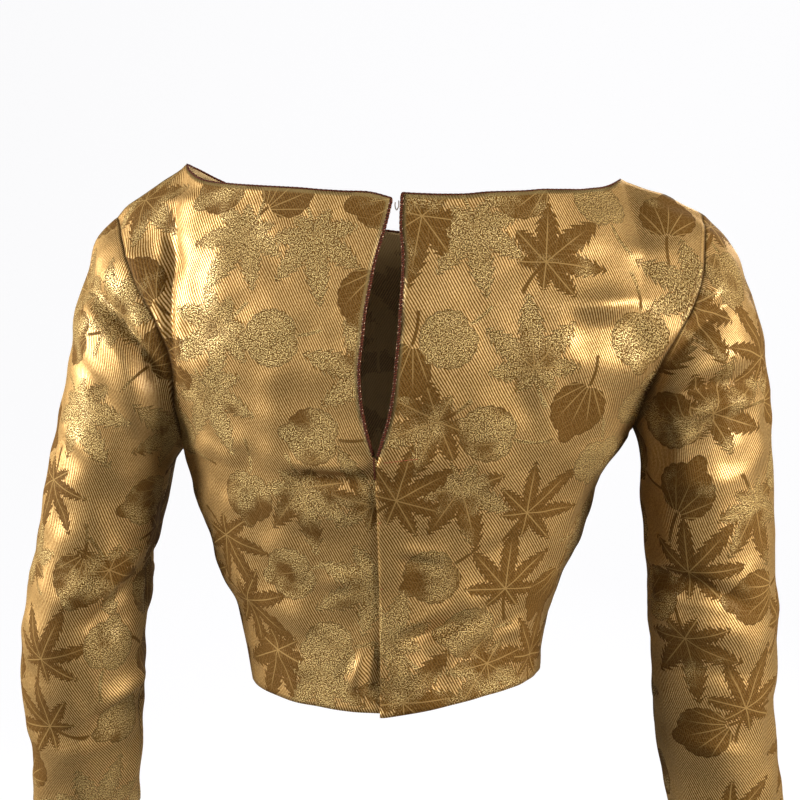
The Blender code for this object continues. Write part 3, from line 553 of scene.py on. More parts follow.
def fold_height(points, normals, folds):
    """Height of all folds and cups at each point."""
    x = points[..., 0]
    z = points[..., 2]
    height = np.zeros(x.shape)
    facing = {side: smooth(-FACING, FACING, side * normals[..., 1]) for side in (BACK, FRONT)}
    t = np.linspace(0, 1, FOLD_POINTS)
    for face, x0, z0, x1, z1, bend, width, rise in folds:
        run = math.hypot(x1 - x0, z1 - z0)
        side_x = -(z1 - z0) / run * bend
        side_z = (x1 - x0) / run * bend
        bow = 4 * t * (1 - t)
        line_x = x0 + (x1 - x0) * t + side_x * bow
        line_z = z0 + (z1 - z0) * t + side_z * bow
        away = np.hypot(x[..., None] - line_x, z[..., None] - line_z)
        nearest = np.argmin(away, axis=-1)
        ends = np.sin(math.pi * (FOLD_TAPER + (1 - 2 * FOLD_TAPER) * t[nearest])) ** FOLD_POWER
        height += rise * ends * np.exp(-(away.min(axis=-1) / width) ** 2) * facing[face]
    inside = facing[FRONT] * smooth(*CUP_SIDE, np.abs(x))
    for cup_x, cup_z, radius, rise in CUPS:
        away = np.hypot(x - cup_x, z - cup_z)
        height += rise * np.exp(-(away / radius) ** 2) * inside
    return height


def lap_height(name, points):
    """The right back stands over the left one along the closing."""
    side = {"back_left": LEFT, "back_right": RIGHT}.get(name)
    if side is None:
        return 0.0
    below = smooth(*LAP_TOP, points[..., 2])
    return -side * LAP / 2 * below * smooth(*LAP_REACH[side], points[..., 0])


GRAIN = (0.055, 0.047, 0.039, 0.034, 0.029, 0.026, 0.023, 0.020, 0.018, 0.016)
GRAIN_RISE = 0.0055       # height of a wave as a share of its length
GRAIN_SEED = 5


def grain(points):
    """Very soft unevenness of hanging cloth: long shallow waves in many directions."""
    rng = np.random.default_rng(GRAIN_SEED)
    height = np.zeros(points.shape[:-1])
    for length in GRAIN:
        for _ in range(3):
            way = unit(rng.normal(size=3))
            phase = rng.uniform(0, 2 * math.pi)
            height += GRAIN_RISE * length * np.sin(points @ way * 2 * math.pi / length + phase)
    return height


def dart_distance(points):
    """Distance to the nearest dart, as seen from the front, in metres."""
    best = np.full(points.shape[:-1], NOT_HERE)
    for x0, z0, x1, z1 in DARTS:
        run = np.array([x1 - x0, z1 - z0])
        rel = np.stack([points[..., 0] - x0, points[..., 2] - z0], axis=-1)
        t = np.clip(rel @ run / (run @ run), 0, 1)
        best = np.minimum(best, np.linalg.norm(rel - t[..., None] * run, axis=-1))
    return best


def steps_along(grid, axis):
    """Running length of a grid along an axis, 0 at its start."""
    gone = np.linalg.norm(np.diff(grid, axis=axis), axis=-1)
    total = np.cumsum(gone, axis=axis)
    first = np.zeros_like(np.take(total, [0], axis=axis))
    return np.concatenate([first, total], axis=axis)


def cloth_maps(name, grid):
    """Cloth coordinates and distances to seam, hem and piped edge, in metres, per point.

    They are measured on the cloth before its folds. A sleeve gets one more column, which
    repeats the first at the end of its ring."""
    if closed_round(name):
        grid = np.concatenate([grid, grid[:, :1]], axis=1)
    side = LEFT if name.endswith("left") else RIGHT
    across = steps_along(grid, 1)
    up = steps_along(grid, 0)
    far = np.full(across.shape, NOT_HERE)
    if closed_round(name):
        middle = across[:, [across.shape[1] // 2]]
        place = (-side * (across - middle), up[-1:] - up)
        seam = np.minimum(up, np.minimum(across, across[:, -1:] - across))
        return place, seam, up[-1:] - up, far
    shoulder = far.copy()
    top = up[-1:] - up
    shoulder[:, -SHOULDER_COLS:] = top[:, -SHOULDER_COLS:]
    if name == "front":
        centre = across.shape[1] // 2
        shoulder[:, :SHOULDER_COLS] = top[:, :SHOULDER_COLS]
        seam = np.minimum(np.minimum(across, across[:, -1:] - across), shoulder)
        place = (across - across[:, [centre]], up + grid[0, centre, 2])
        return place, seam, up, np.where(shoulder < NOT_HERE, far, top)
    seam = np.minimum(across[:, -1:] - across, shoulder)
    slit = np.where(grid[..., 2] > SLIT[-1][0], across, far)
    edge = np.minimum(slit, np.where(shoulder < NOT_HERE, far, top))
    place = (side * across + grid[:, :1, 0], up + grid[0, 0, 2])
    return place, seam, up, edge


def finished_grids():
    """Grids with folds, seams and darts, the normals that go with them, and their maps."""
    flat = base_grids()
    grids = {}
    normals = shared_normals(flat)
    folds = [(face,) + row[:-1] + (row[-1] * factor,)
             for face, factor, rows in CREASES for row in metres(rows)]
    for name, (grid, mirrored) in flat.items():
        height = fold_height(grid, normals[name], folds) + lap_height(name, grid)
        grids[name] = (grid + normals[name] * (height + grain(grid))[..., None], mirrored)
    normals = shared_normals(grids)
    maps = {}
    for name, (grid, mirrored) in grids.items():
        plain = flat[name][0]
        if closed_round(name):
            half = grid.shape[1] // 2
            grid, plain, normals[name] = (np.roll(m, -half, axis=1) for m in (grid, plain, normals[name]))
        place, seam, hem, edge = cloth_maps(name, plain)
        dart = dart_distance(grid) if name == "front" else np.full(grid.shape[:-1], NOT_HERE)
        if closed_round(name):
            dart = np.concatenate([dart, dart[:, :1]], axis=1)
        dip = SEAM_DIP * np.exp(-(seam / SEAM_WIDTH) ** 2)
        dip = (dip + DART_DIP * np.exp(-(dart / DART_WIDTH) ** 2))[:, :grid.shape[1]]
        grids[name] = (grid - normals[name] * dip[..., None], mirrored)
        maps[name] = (place, seam, hem, edge, dart)
    return grids, normals, maps


def leaf_frames(name, grid, normals):
    """Leaves of a piece: middle, sideways and tip directions, base offset, size, reach, kind."""
    points = grid.reshape(-1, 3)
    facing = normals.reshape(-1, 3)
    rng = np.random.default_rng(LEAF_SEED + len(name) + ord(name[-1]))
    chosen = []
    for x, z, turn, kind, glitter in LEAVES.get(name, []):
        away = np.hypot(points[:, 0] - x, points[:, 2] - z) + (facing[:, 1] < BACKWARD)
        chosen.append((int(away.argmin()), turn, kind, glitter))
    for pick in rng.integers(0, len(points), LEAF_TRIES):
        middles = np.array([points[k] for k, _, _, _ in chosen]).reshape(-1, 3)
        away = np.linalg.norm(middles - points[pick], axis=1)
        if len(away) and away.min() < LEAF_SPACING:
            continue
        near = chosen[int(away.argmin())][2] if len(away) else ROUND
        kind = ROUND if near != ROUND else (BROAD, BROAD, SLENDER)[int(rng.integers(0, 3))]
        glitter = SLENDER_GLITTER if kind == SLENDER else float(rng.uniform(*GLITTER))
        chosen.append((int(pick), float(rng.uniform(0, 360)), kind, glitter))
    found = []
    for k, turn, kind, glitter in chosen:
        right = unit(np.cross((0, 0, 1), facing[k]))
        up = np.cross(facing[k], right)
        turn = math.radians(turn)
        tip = math.cos(turn) * up + math.sin(turn) * right
        across = math.cos(turn) * right - math.sin(turn) * up
        size, middle, reach = LEAF_SIZE[kind]
        found.append((points[k], across, tip, middle, size, reach, kind + MOST_GLITTER * glitter))
    return found


def leaf_maps(name, grid, normals, cells):
    """For each corner of each cell, its place in the cell's two nearest leaves, and their kinds."""
    leaves = leaf_frames(name, grid, normals)
    corners = grid.reshape(-1, 3)[cells]
    middle = corners.mean(axis=1)
    score = np.stack([np.linalg.norm(middle - leaf[0], axis=1) ** 2 - leaf[5] ** 2
                      for leaf in leaves], axis=1)
    order = np.argsort(score, axis=1)
    places = []
    kinds = []
    for chosen in (order[:, 0], order[:, 1]):
        centre, across, tip, shift, size, _, kind = (
            np.array([leaf[k] for leaf in leaves])[chosen] for k in range(7))
        rel = corners - centre[:, None]
        beside = (rel * across[:, None]).sum(-1) / size[:, None]
        onward = (rel * tip[:, None]).sum(-1) / size[:, None] + shift[:, None]
        places.append(np.stack([beside, onward], axis=-1))
        kinds.append(kind)
    both = np.stack(kinds, axis=-1)
    return places[0], places[1], np.broadcast_to(both[:, None], (len(cells), 4, 2))


def cell_corners(rows, cols):
    """Row and column of the four corners of every cell of a grid."""
    i, j = np.meshgrid(np.arange(rows), np.arange(cols), indexing="ij")
    return i.reshape(-1, 1) + np.array([0, 1, 1, 0]), j.reshape(-1, 1) + np.array([0, 0, 1, 1])


def write_map(mesh, label, values):
    layer = mesh.uv_layers.new(name=label)
    layer.data.foreach_set("uv", np.ascontiguousarray(values, dtype=np.float32).ravel())


def cloth_piece(name, grid, normals, maps, mirrored, materials):
    """A thin closed shell: outer face, reverse face and a rim on every free edge."""
    rows, cols = grid.shape[:2]
    around = closed_round(name)
    place, seam, hem, edge, dart = maps
    turned = CUFF_DEPTH if around else HEM_DEPTH
    thick = SHEET + TURNING * smooth(turned + TURN_STEP, turned, hem[:, :cols])
    inner = grid - normals * thick[..., None]
    last = cols if around else cols - 1
    corner_i, corner_j = cell_corners(rows - 1, last)
    cells = corner_i * cols + corner_j % cols
    flat = corner_i * (last + 1) + corner_j
    shift = rows * cols
    rims = [[(0, n) for n in range(last + 1)], [(rows - 1, n) for n in range(last, -1, -1)]]
    if not around:
        rims.append([(m, cols - 1) for m in range(rows)])
        rims.append([(m, 0) for m in range(rows - 1, -1, -1)])
    pairs = [pair for rim in rims for pair in zip(rim, rim[1:])]
    rim_i = np.array([[a[0], b[0], b[0], a[0]] for a, b in pairs])
    rim_j = np.array([[a[1], b[1], b[1], a[1]] for a, b in pairs])
    rim = rim_i * cols + rim_j % cols + np.array([0, 0, shift, shift])
    rim_flat = rim_i * (last + 1) + rim_j
    faces = np.concatenate([cells, cells[:, ::-1] + shift, rim])
    if mirrored:
        faces = faces[:, ::-1]
    mesh = bpy.data.meshes.new(name)
    verts = np.vstack([grid.reshape(-1, 3), inner.reshape(-1, 3)])
    mesh.from_pydata(verts.tolist(), [], faces.tolist())
    first_leaf, second_leaf, kinds = leaf_maps(name, grid, normals, cells)
    layers = {"cloth": place, "leaf": first_leaf, "leaf_behind": second_leaf, "kind": kinds,
              "edges": (seam, hem), "rims": (edge, dart)}
    for label, values in layers.items():
        rim_values = np.full((len(rim), 4, 2), NO_LEAF)
        if label in ("cloth", "edges", "rims"):
            values, rim_values = (np.stack([m.ravel()[where] for m in values], axis=-1)
                                  for where in (flat, rim_flat))
        whole = np.concatenate([values, values[:, ::-1], rim_values])
        write_map(mesh, label, whole[:, ::-1] if mirrored else whole)
    for material in materials:
        mesh.materials.append(material)
    slots = np.zeros(len(faces), dtype=np.int32)
    slots[len(cells):2 * len(cells)] = 1
    mesh.polygons.foreach_set("material_index", slots)
    mesh.shade_smooth()
    return linked(name + "_cloth", mesh)


def rope(path, radius, sides, swell=0.0, pitch=1.0):
    """Points, faces and map values of a round strand along a path, with a twist in its surface.

    The radius is one number, or one for each point."""
    path = np.array(path, float)
    run = unit(np.gradient(path, axis=0))
    gone = steps_along(path, 0)
    side = np.zeros_like(path)
    hint = np.array([0.3, 0.2, 0.93])
    for k in range(len(path)):
        hint = unit(hint - run[k] * (hint @ run[k]))
        side[k] = hint
    other = np.cross(run, side)
    angle = 2 * math.pi * np.arange(sides) / sides
    wave = 1 + swell * np.cos(2 * angle[None, :] - 2 * math.pi * gone[:, None] / pitch)
    ring = np.cos(angle)[:, None] * side[:, None] + np.sin(angle)[:, None] * other[:, None]
    thick = np.broadcast_to(radius, len(path))[:, None] * wave
    points = path[:, None] + ring * thick[..., None]
    row, col = (corner[:, [0, 3, 2, 1]] for corner in cell_corners(len(path) - 1, sides))
    faces = (row * sides + col % sides).tolist()
    places = np.stack([gone[row], col / sides], axis=-1).tolist()
    for k, order in ((0, range(sides - 1, -1, -1)), (len(path) - 1, range(sides))):
        faces.append([k * sides + n for n in order])
        places.append([(gone[k], n / sides) for n in order])
    return points.reshape(-1, 3).tolist(), faces, places


def strand_piece(name, strands, material):
    """One object from several strands."""
    verts = []
    faces = []
    places = []
    for strand_verts, strand_faces, strand_places in strands:
        first = len(verts)
        verts += strand_verts
        faces += [[first + v for v in face] for face in strand_faces]
        places += [place for face in strand_places for place in face]
    mesh = bpy.data.meshes.new(name)
    mesh.from_pydata(verts, [], faces)
    write_map(mesh, "strand", np.array(places))
    mesh.materials.append(material)
    mesh.shade_smooth()
    return linked(name, mesh)


def beside_edge(middle, normals, sign, away):
    """Middle of a cord that lies against an edge of the cloth."""
    run = np.gradient(middle, axis=0)
    return middle + sign * unit(np.cross(normals, run)) * away


def resampled(path, step):
    """The path at even steps, with any more columns that it has after x, y and z."""
    gone = steps_along(path[:, :3], 0)
    even = np.linspace(0, gone[-1], int(gone[-1] / step) + 1)
    return np.column_stack([np.interp(even, gone, column) for column in path.T])


def softened(path, times):
    """The path with its corners rounded by averaging neighbours."""
    path = path.copy()
    for _ in range(times):
        path[1:-1] = (path[:-2] + 2 * path[1:-1] + path[2:]) / 4
    return path


def cord_paths(grids, normals):
    """Piping: path and radius along it for front neck, left back and right back, and each slit run."""
    shoulder = SHOULDER_COLS
    grid, _ = grids["front"]
    facing = normals["front"]
    middle = grid - facing * CLOTH / 2
    strip = slice(shoulder, grid.shape[1] - shoulder)
    neck = beside_edge(middle[-1, strip], facing[-1, strip], -1, NECK_CORD)
    paths = {"front": (neck, np.full(len(neck), NECK_CORD), None)}
    foot = ROWS_LOW + SLIT_FOOT
    for name, label in (("back_left", "left"), ("back_right", "right")):
        grid, mirrored = grids[name]
        facing = normals[name]
        sign = 1 if mirrored else -1
        middle = grid - facing * CLOTH / 2
        strip = slice(0, grid.shape[1] - shoulder)
        neck = beside_edge(middle[-1, strip], facing[-1, strip], sign, NECK_CORD)
        slit = beside_edge(middle[foot:, 0], facing[foot:, 0], sign, CORD_SET)
        corner = middle[-1, 0] + (neck[0] + slit[-1] - 2 * middle[-1, 0]) * CORNER
        path = np.vstack([neck[:0:-1], [neck[0], corner, slit[-1]], slit[-2::-1]])
        radius = np.concatenate([np.full(len(neck), NECK_CORD), np.full(len(slit) + 1, SLIT_CORD)])
        paths[label] = (path, radius, (slit[::-1], facing[foot:, 0][::-1], middle[foot:, 0][::-1]))
    return paths


class Wire:
    """The output of a node. Each operator on it adds one math node."""

    def __init__(self, net, socket):
        self.net = net
        self.socket = socket


def operator(operation, swapped):
    def apply(wire, other):
        return wire.net.math(operation, *((other, wire) if swapped else (wire, other)))
    return apply


for sign, operation in (("add", "ADD"), ("sub", "SUBTRACT"), ("mul", "MULTIPLY"),
                        ("truediv", "DIVIDE"), ("pow", "POWER")):
    setattr(Wire, f"__{sign}__", operator(operation, False))
    setattr(Wire, f"__r{sign}__", operator(operation, True))


class Net:
    """Short ways to add nodes to one tree. Each call gives back a wire, or a list of wires."""

    def __init__(self, tree):
        self.tree = tree

    def put(self, socket, value):
        if isinstance(value, Wire):
            self.tree.links.new(value.socket, socket)
        else:
            socket.default_value = value

    def node(self, kind, values, **settings):
        node = self.tree.nodes.new("ShaderNode" + kind)
        for key, value in settings.items():
            setattr(node, key, value)
        for key, value in values.items():
            self.put(node.inputs[key], value)
        return [Wire(self, socket) for socket in node.outputs]

    def math(self, operation, *values):
        return self.node("Math", dict(enumerate(values)), operation=operation)[0]

    def step(self, low, high, value):
        """0 at low, 1 at high, with soft ends; low may be the larger one."""
        values = {"Value": value, "From Min": low, "From Max": high}
        return self.node("MapRange", values, interpolation_type="SMOOTHSTEP")[0]

    def size(self, value):
        return self.math("ABSOLUTE", value)

    def more(self, first, second):
        return self.math("MAXIMUM", first, second)

    def less(self, first, second):
        return self.math("MINIMUM", first, second)

    def split(self, vector):
        return self.node("SeparateXYZ", {0: vector})

    def noise(self, vector, scale, detail):
        return self.node("TexNoise", {"Vector": vector, "Scale": scale, "Detail": detail})[0]

    def colour(self, factor, first, second, blend="MIX"):
        return self.node("Mix", {0: factor, 6: first, 7: second}, data_type="RGBA", blend_type=blend)[2]

    def number(self, factor, first, second):
        return self.node("Mix", {0: factor, 2: first, 3: second}, data_type="FLOAT")[0]

    def map(self, label):
        return self.node("UVMap", {}, uv_map=label)[0]

    def seen(self):
        return self.node("LightPath", {})[0]

    def group(self, tree, *values):
        node = self.tree.nodes.new("ShaderNodeGroup")
        node.node_tree = tree
        for socket, value in zip(node.inputs, values):
            self.put(socket, value)
        return [Wire(self, socket) for socket in node.outputs]


def rgb(red, green, blue):
    return (red, green, blue, 1.0)


def new_group(name, *inputs):
    """An empty node group's net, and the wires of its inputs."""
    tree = bpy.data.node_groups.new(name, "ShaderNodeTree")
    for label in inputs:
        kind = "NodeSocketFloat" if label == "Kind" else "NodeSocketVector"
        tree.interface.new_socket(name=label, in_out="INPUT", socket_type=kind)
    net = Net(tree)
    start = tree.nodes.new("NodeGroupInput")
    return [net] + [Wire(net, start.outputs[label]) for label in inputs]


def closed_group(net, **outputs):
    for label in outputs:
        net.tree.interface.new_socket(name=label, in_out="OUTPUT", socket_type="NodeSocketFloat")
    end = net.tree.nodes.new("NodeGroupOutput")
    for label, wire in outputs.items():
        net.put(end.inputs[label], wire)
    return net.tree


RIB_PITCH = 0.00155       # one diagonal rib of the satin twill
RIB_RUN = (0.469, 0.883)  # direction of the ribs on the cloth
RIB_SWAY = 1.3            # how far a rib strays from its line, in ribs
YARN_LENGTH = 0.0014
# Scales of noise, per metre
SWAYS = 40.0
FLECKS = 1350.0
PATCHES = 38.0            # glitter comes and goes over the leaves
CLOUDS = 22.0
PUCKERS = 260.0           # beside the seams
FLUFF = 2600.0


def twill_group():
    """Diagonal ribs, and the unevenness of single yarns along them."""
    net, cloth = new_group("twill", "Cloth")
    x, y, _ = net.split(cloth)
    across = x * RIB_RUN[1] - y * RIB_RUN[0]
    onward = x * RIB_RUN[0] + y * RIB_RUN[1]
    turn = across / RIB_PITCH + net.noise(cloth, SWAYS, 1.0) * RIB_SWAY
    rib = net.math("SINE", turn * math.tau) * 0.5 + 0.5
    place = net.node("CombineXYZ", {0: turn, 1: onward / YARN_LENGTH})[0]
    return closed_group(net, Rib=rib, Yarn=net.noise(place, 1.0, 1.0))


def fleck_group():
    """Small bright flecks of metal yarn."""
    net, cloth = new_group("flecks", "Cloth")
    return closed_group(net, Fleck=net.step(0.49, 0.60, net.noise(cloth, FLECKS, 1.0)))


LOBE_ANGLE = math.radians(46)     # from one lobe of a palmate leaf to the next
LOBES = 3.0               # on each side of the middle one
LANCE = 3.58              # makes the widest place of a lance shape 1
BROAD_LOBE = 0.172        # half width of a lobe, as a share of the leaf
SLENDER_LOBE = 0.130
TEETH = 7.5               # along one lobe
ROUND_MIDDLE = 0.48       # middle of the round leaf above its base
ROUND_REACH = 0.44
ROUND_RAY = 0.36          # angle from one vein of a round leaf to the next


def lobed_shape(net, x, y, slender):
    """Inside depth of a leaf of seven pointed lobes, distance from its base, angle from its tip."""
    radius = net.math("SQRT", x * x + y * y)
    turn = net.size(net.math("ARCTAN2", x, y))
    lobe = net.less(net.math("ROUND", turn / LOBE_ANGLE), LOBES)
    lean = turn - lobe * LOBE_ANGLE
    length = 1.0 - (lobe / LOBES) ** 1.15 * 0.60
    onward = radius * net.math("COSINE", lean) / length
    aside = net.size(radius * net.math("SINE", lean))
    share = net.less(net.more(onward, 0.0), 1.0)
    widest = net.math("SQRT", length) * net.number(slender, BROAD_LOBE * LANCE, SLENDER_LOBE * LANCE)
    width = share ** 0.85 * (1.0 - share) * widest
    saw = net.math("FRACT", aside * 3.0 + onward * TEETH)
    teeth = (0.5 - saw) * net.number(slender, 0.070, 0.048) * net.step(0.16, 0.36, share)
    return width + teeth - aside + net.more(onward - 1.0, 0.0) * -2.0, radius, turn


def leaf_group():
    """Shape of one leaf from its own coordinates: base at 0, tip at 1 up the y axis."""
    net, place, kind = new_group("leaf", "Place", "Kind")
    x, y, _ = net.split(place)
    slender = net.step(0.97, 1.0, kind)
    rounded = net.step(1.97, 2.0, kind)
    palmate, radius, turn = lobed_shape(net, x, y, slender)
    rise = y - ROUND_MIDDLE
    reach = net.math("SQRT", x * x + rise * rise)
    bearing = net.size(net.math("ARCTAN2", x, rise))
    scallop = net.size(net.math("SINE", bearing * 8.0)) * 0.022
    tail = net.step(0.42, 0.0, bearing) * 0.14
    heart = net.step(math.pi - 0.5, math.pi, bearing) * -0.07
    outline = scallop + tail + (heart + ROUND_REACH)
    inside = net.number(rounded, palmate, outline - reach)
    blade = net.step(-0.008, 0.010, inside)
    bulb = net.step(-0.38, -0.50, y)
    within = net.step(-0.54, -0.50, y) * net.step(0.10, 0.04, y)
    stalk = net.step(bulb * 0.022 + 0.036, 0.016, net.size(x - y * y * 0.42)) * within
    fan = net.number(rounded, LOBE_ANGLE, ROUND_RAY)
    lean = turn - net.less(net.math("ROUND", turn / fan), LOBES) * fan
    aside = net.size(radius * net.math("SINE", lean))
    onward = radius * net.math("COSINE", lean)
    midrib = net.step(0.012, 0.003, aside) * net.step(0.80, 0.45, radius)
    branch = net.size(net.math("FRACT", (onward - aside * 1.2) * 9.0) - 0.5)
    branch = net.step(0.12, 0.03, branch) * 0.26
    return closed_group(net, Leaf=net.more(blade, stalk), Vein=net.more(midrib, branch) * blade,
                        Border=net.step(0.045, 0.0, inside) * blade)


def leaf_field(net, leaf, kinds):
    """The nearest leaf, and behind it the next one: blade, vein, border and share of glitter."""
    front, behind = [
        net.group(leaf, net.map(label), net.math("FLOOR", kind)) + [net.math("FRACT", kind)]
        for label, kind in zip(("leaf", "leaf_behind"), kinds)]
    hidden = 1.0 - front[0]
    vein, border = [front[k] + behind[k] * hidden for k in (1, 2)]
    return net.more(front[0], behind[0]), vein, border, net.number(front[0], behind[3], front[3])


def new_material(name):
    material = bpy.data.materials.new(name)
    material.use_nodes = True
    return material, Net(material.node_tree), material.node_tree.nodes["Principled BSDF"].inputs


def finish_shader(net, shader, distance, height, sockets):
    """Link or set the shader's own sockets, and add the bump."""
    for label, value in sockets.items():
        net.put(shader[label], value)
    bump = net.node("Bump", {"Distance": distance, "Height": height})[0]
    net.put(shader["Normal"], bump)


RIB_DARK = rgb(0.175, 0.075, 0.008)
RIB_LIGHT = rgb(0.770, 0.525, 0.225)
LEAF_BROWN = rgb(0.072, 0.028, 0.004)
LEAF_BROWN_LIGHT = rgb(0.140, 0.064, 0.011)
FLECK_GOLD = rgb(0.900, 0.680, 0.290)
VEIN_GOLD = rgb(0.400, 0.255, 0.090)
CLOUD = rgb(0.62, 0.56, 0.50)     # soft unevenness of the whole cloth
MARGIN = rgb(0.230, 0.170, 0.070)
# painted shade: darkens the cloth in the dips of the seams and the darts
PAINTED_SEAM_SHADE = rgb(0.07, 0.035, 0.012)  # where two pieces meet at a seam
STITCH = rgb(0.20, 0.10, 0.04)
REVERSE_DARK = rgb(0.150, 0.090, 0.036)
REVERSE_LIGHT = rgb(0.330, 0.215, 0.090)
REVERSE_LEAF = rgb(0.45, 0.31, 0.135)
WEAVE_DEPTH = 0.00014     # of the bump
REVERSE_DEPTH = 0.00010
STITCH_STEP = 0.0034
HEM_STITCH = 0.0148       # from the hem's edge to its row of stitches
SEAM_STITCH = 0.0034


def brocade_material(twill, flecks, leaf):
    material, net, shader = new_material("gold_leaf_brocade")
    cloth = net.map("cloth")
    seam, hem, _ = net.split(net.map("edges"))
    edge, dart, _ = net.split(net.map("rims"))
    rib, yarn = net.group(twill, cloth)
    fleck = net.group(flecks, cloth)[0]
    blade, vein, border, glitter = leaf_field(net, leaf, net.split(net.map("kind")))
    shine = net.step(0.40, 0.62, net.noise(cloth, PATCHES, 2.0) + (glitter * 0.8 - 0.4))
    lit = fleck * net.number(shine, 0.06, 0.85)
    tone = (yarn - 0.5) * 0.9 + rib
    ground = net.colour(net.step(0.10, 1.15, tone), RIB_DARK, RIB_LIGHT)
    brown = net.colour(net.step(0.3, 0.8, tone), LEAF_BROWN, LEAF_BROWN_LIGHT)
    figure = net.colour(lit, brown, FLECK_GOLD)
    figure = net.colour(border * 0.65, figure, LEAF_BROWN)
    figure = net.colour(vein * net.number(shine, 0.70, 0.45), figure, VEIN_GOLD)
    colour = net.colour(blade, ground, figure)
    cloud = net.step(0.35, 0.75, net.noise(cloth, CLOUDS, 3.0)) * 0.22
    colour = net.colour(cloud, colour, CLOUD, "MULTIPLY")
    colour = net.colour(net.step(0.0030, 0.0012, edge) * 0.6, colour, MARGIN)
    # painted shade in the dips of the seams and the darts
    seam_shade = net.more(net.step(0.0016, 0.0002, seam), net.step(0.0014, 0.0002, dart))
    colour = net.colour(seam_shade * 0.7, colour, PAINTED_SEAM_SHADE)
    x, y, _ = net.split(cloth)
    beat = net.math("PINGPONG", (x + y * 0.2) / STITCH_STEP, 0.5)
    row = net.more(net.step(0.0006, 0.0002, net.size(hem - HEM_STITCH)),
                   net.step(0.0005, 0.0002, net.size(seam - SEAM_STITCH)))
    colour = net.colour(row * net.step(0.14, 0.22, beat) * 0.45, colour, STITCH)
    weave = net.number(blade, tone * 0.55, lit * 0.9 + 0.35)
    pucker = net.noise(cloth, PUCKERS, 1.0) * net.step(0.006, 0.001, seam)
    height = weave + pucker * 1.6 - row * 0.5 + vein * 0.25
    finish_shader(net, shader, WEAVE_DEPTH, height, {
        "Base Color": colour,
        "Roughness": net.number(blade, net.number(rib, 0.60, 0.50), net.number(lit, 0.80, 0.42)),
        "Metallic": net.number(blade, 0.72, net.number(lit, 0.10, 0.80)),
        "Coat Weight": net.number(blade, net.number(rib, 0.0, 0.34), net.number(lit, 0.0, 0.3)),
        "Specular IOR Level": 0.20, "Specular Tint": rgb(1.0, 0.72, 0.32),
        "Coat Roughness": 0.40, "Coat IOR": 1.6,
    })
    return material


def reverse_material(twill, leaf):
    material, net, shader = new_material("brocade_reverse")
    rib, yarn = net.group(twill, net.map("cloth"))
    blade, _, _, _ = leaf_field(net, leaf, net.split(net.map("kind")))
    tone = (yarn - 0.5) * 1.2 + rib
    colour = net.colour(net.step(0.0, 1.0, tone), REVERSE_DARK, REVERSE_LIGHT)
    finish_shader(net, shader, REVERSE_DEPTH, tone, {
        "Base Color": net.colour(blade * 0.55, colour, REVERSE_LEAF),
        "Roughness": net.number(rib, 0.82, 0.68), "Metallic": net.number(blade, 0.05, 0.2),
    })
    return material


# Twisted yarns. Colour in the grooves of the twist, a painted shade, and on its crests, a painted
# highlight; roughness, length of a twist and depth of its groove
STRANDS = {
    "maroon_cord": (rgb(0.014, 0.004, 0.002), rgb(0.120, 0.026, 0.008), 0.72, 0.0016, 0.00025),
    "beige_thread": (rgb(0.42, 0.26, 0.15), rgb(0.80, 0.60, 0.42), 0.6, 0.0006, 0.00005),
    "red_thread": (rgb(0.22, 0.045, 0.02), rgb(0.45, 0.12, 0.06), 0.6, 0.0006, 0.00005),
    "pale_thread": (rgb(0.46, 0.34, 0.25), rgb(0.86, 0.76, 0.66), 0.55, 0.0005, 0.00005),
}


def strand_material(name):
    """Twisted yarn: stripes that run round the strand, a painted shade in the grooves between the plies
    and a painted highlight on their crests, with a little fluff.
    """
    groove_shade, light, roughness, pitch, depth = STRANDS[name]
    material, net, shader = new_material(name)
    gone, round_share, _ = net.split(net.map("strand"))
    # the ply stripes give painted shade in the grooves and painted highlight on the crests, in step with
    # the bump
    ply = net.math("SINE", (gone / pitch - round_share * 2.0) * math.tau) * 0.5 + 0.5
    fluff = net.noise(net.node("TexCoord", {})[3], FLUFF, 2.0)
    tone = (fluff - 0.5) * 1.4 + ply
    finish_shader(net, shader, depth, tone, {
        "Base Color": net.colour(net.step(-0.1, 1.1, tone), groove_shade, light),
        "Roughness": net.number(ply, roughness + 0.1, roughness - 0.08), "Specular IOR Level": 0.15,
    })
    return material


def surface_place(grids, normals, name, x, z):
    """Point and normal of a back piece at x and z."""
    grid, _ = grids[name]
    away = np.hypot(grid[..., 0] - x, grid[..., 2] - z) + (normals[name][..., 1] < BACKWARD)
    i, j = np.unravel_index(int(away.argmin()), away.shape)
    facing = normals[name][i, j]
    point = grid[i, j].copy()
    gap = np.array([x - point[0], 0.0, z - point[2]])
    gap[1] = -(gap[0] * facing[0] + gap[2] * facing[2]) / facing[1]
    return point + gap, facing


# Red stitches at the closing. Start and end as x and z, length, gap and radius of a stitch
RED_STITCHES = [
    ((-0.0035, -0.1575), (-0.0248, -0.1546), 0.0021, 0.0006, 0.00024),
    ((0.0018, -0.1983), (-0.0002, -0.1977), 0.0016, 0.0002, 0.00026),
    ((0.0018, -0.2430), (-0.0002, -0.2424), 0.0016, 0.0002, 0.00026),
]
THREAD_ARCH = 0.00018     # how far a stitch stands out of the cloth in its middle
THREAD_SINK = 0.00005     # and how deep its ends lie in it


def stitch_row(grids, normals, start, end, length, gap, radius):
    """Short threads in a row over the right back between two x, z places."""
    start = np.array(start)
    end = np.array(end)
    count = int(np.linalg.norm(end - start) / (length + gap))
    strands = []
    for k in range(count):
        path = []
        for share in (0.0, 0.25, 0.5, 0.75, 1.0):
            at = start + (end - start) * (k + share * length / (length + gap)) / count
            point, facing = surface_place(grids, normals, "back_right", at[0], at[1])
            path.append(point + facing * (THREAD_ARCH * math.sin(math.pi * share) - THREAD_SINK))
        strands.append(rope(path, radius, 6))
    return strands


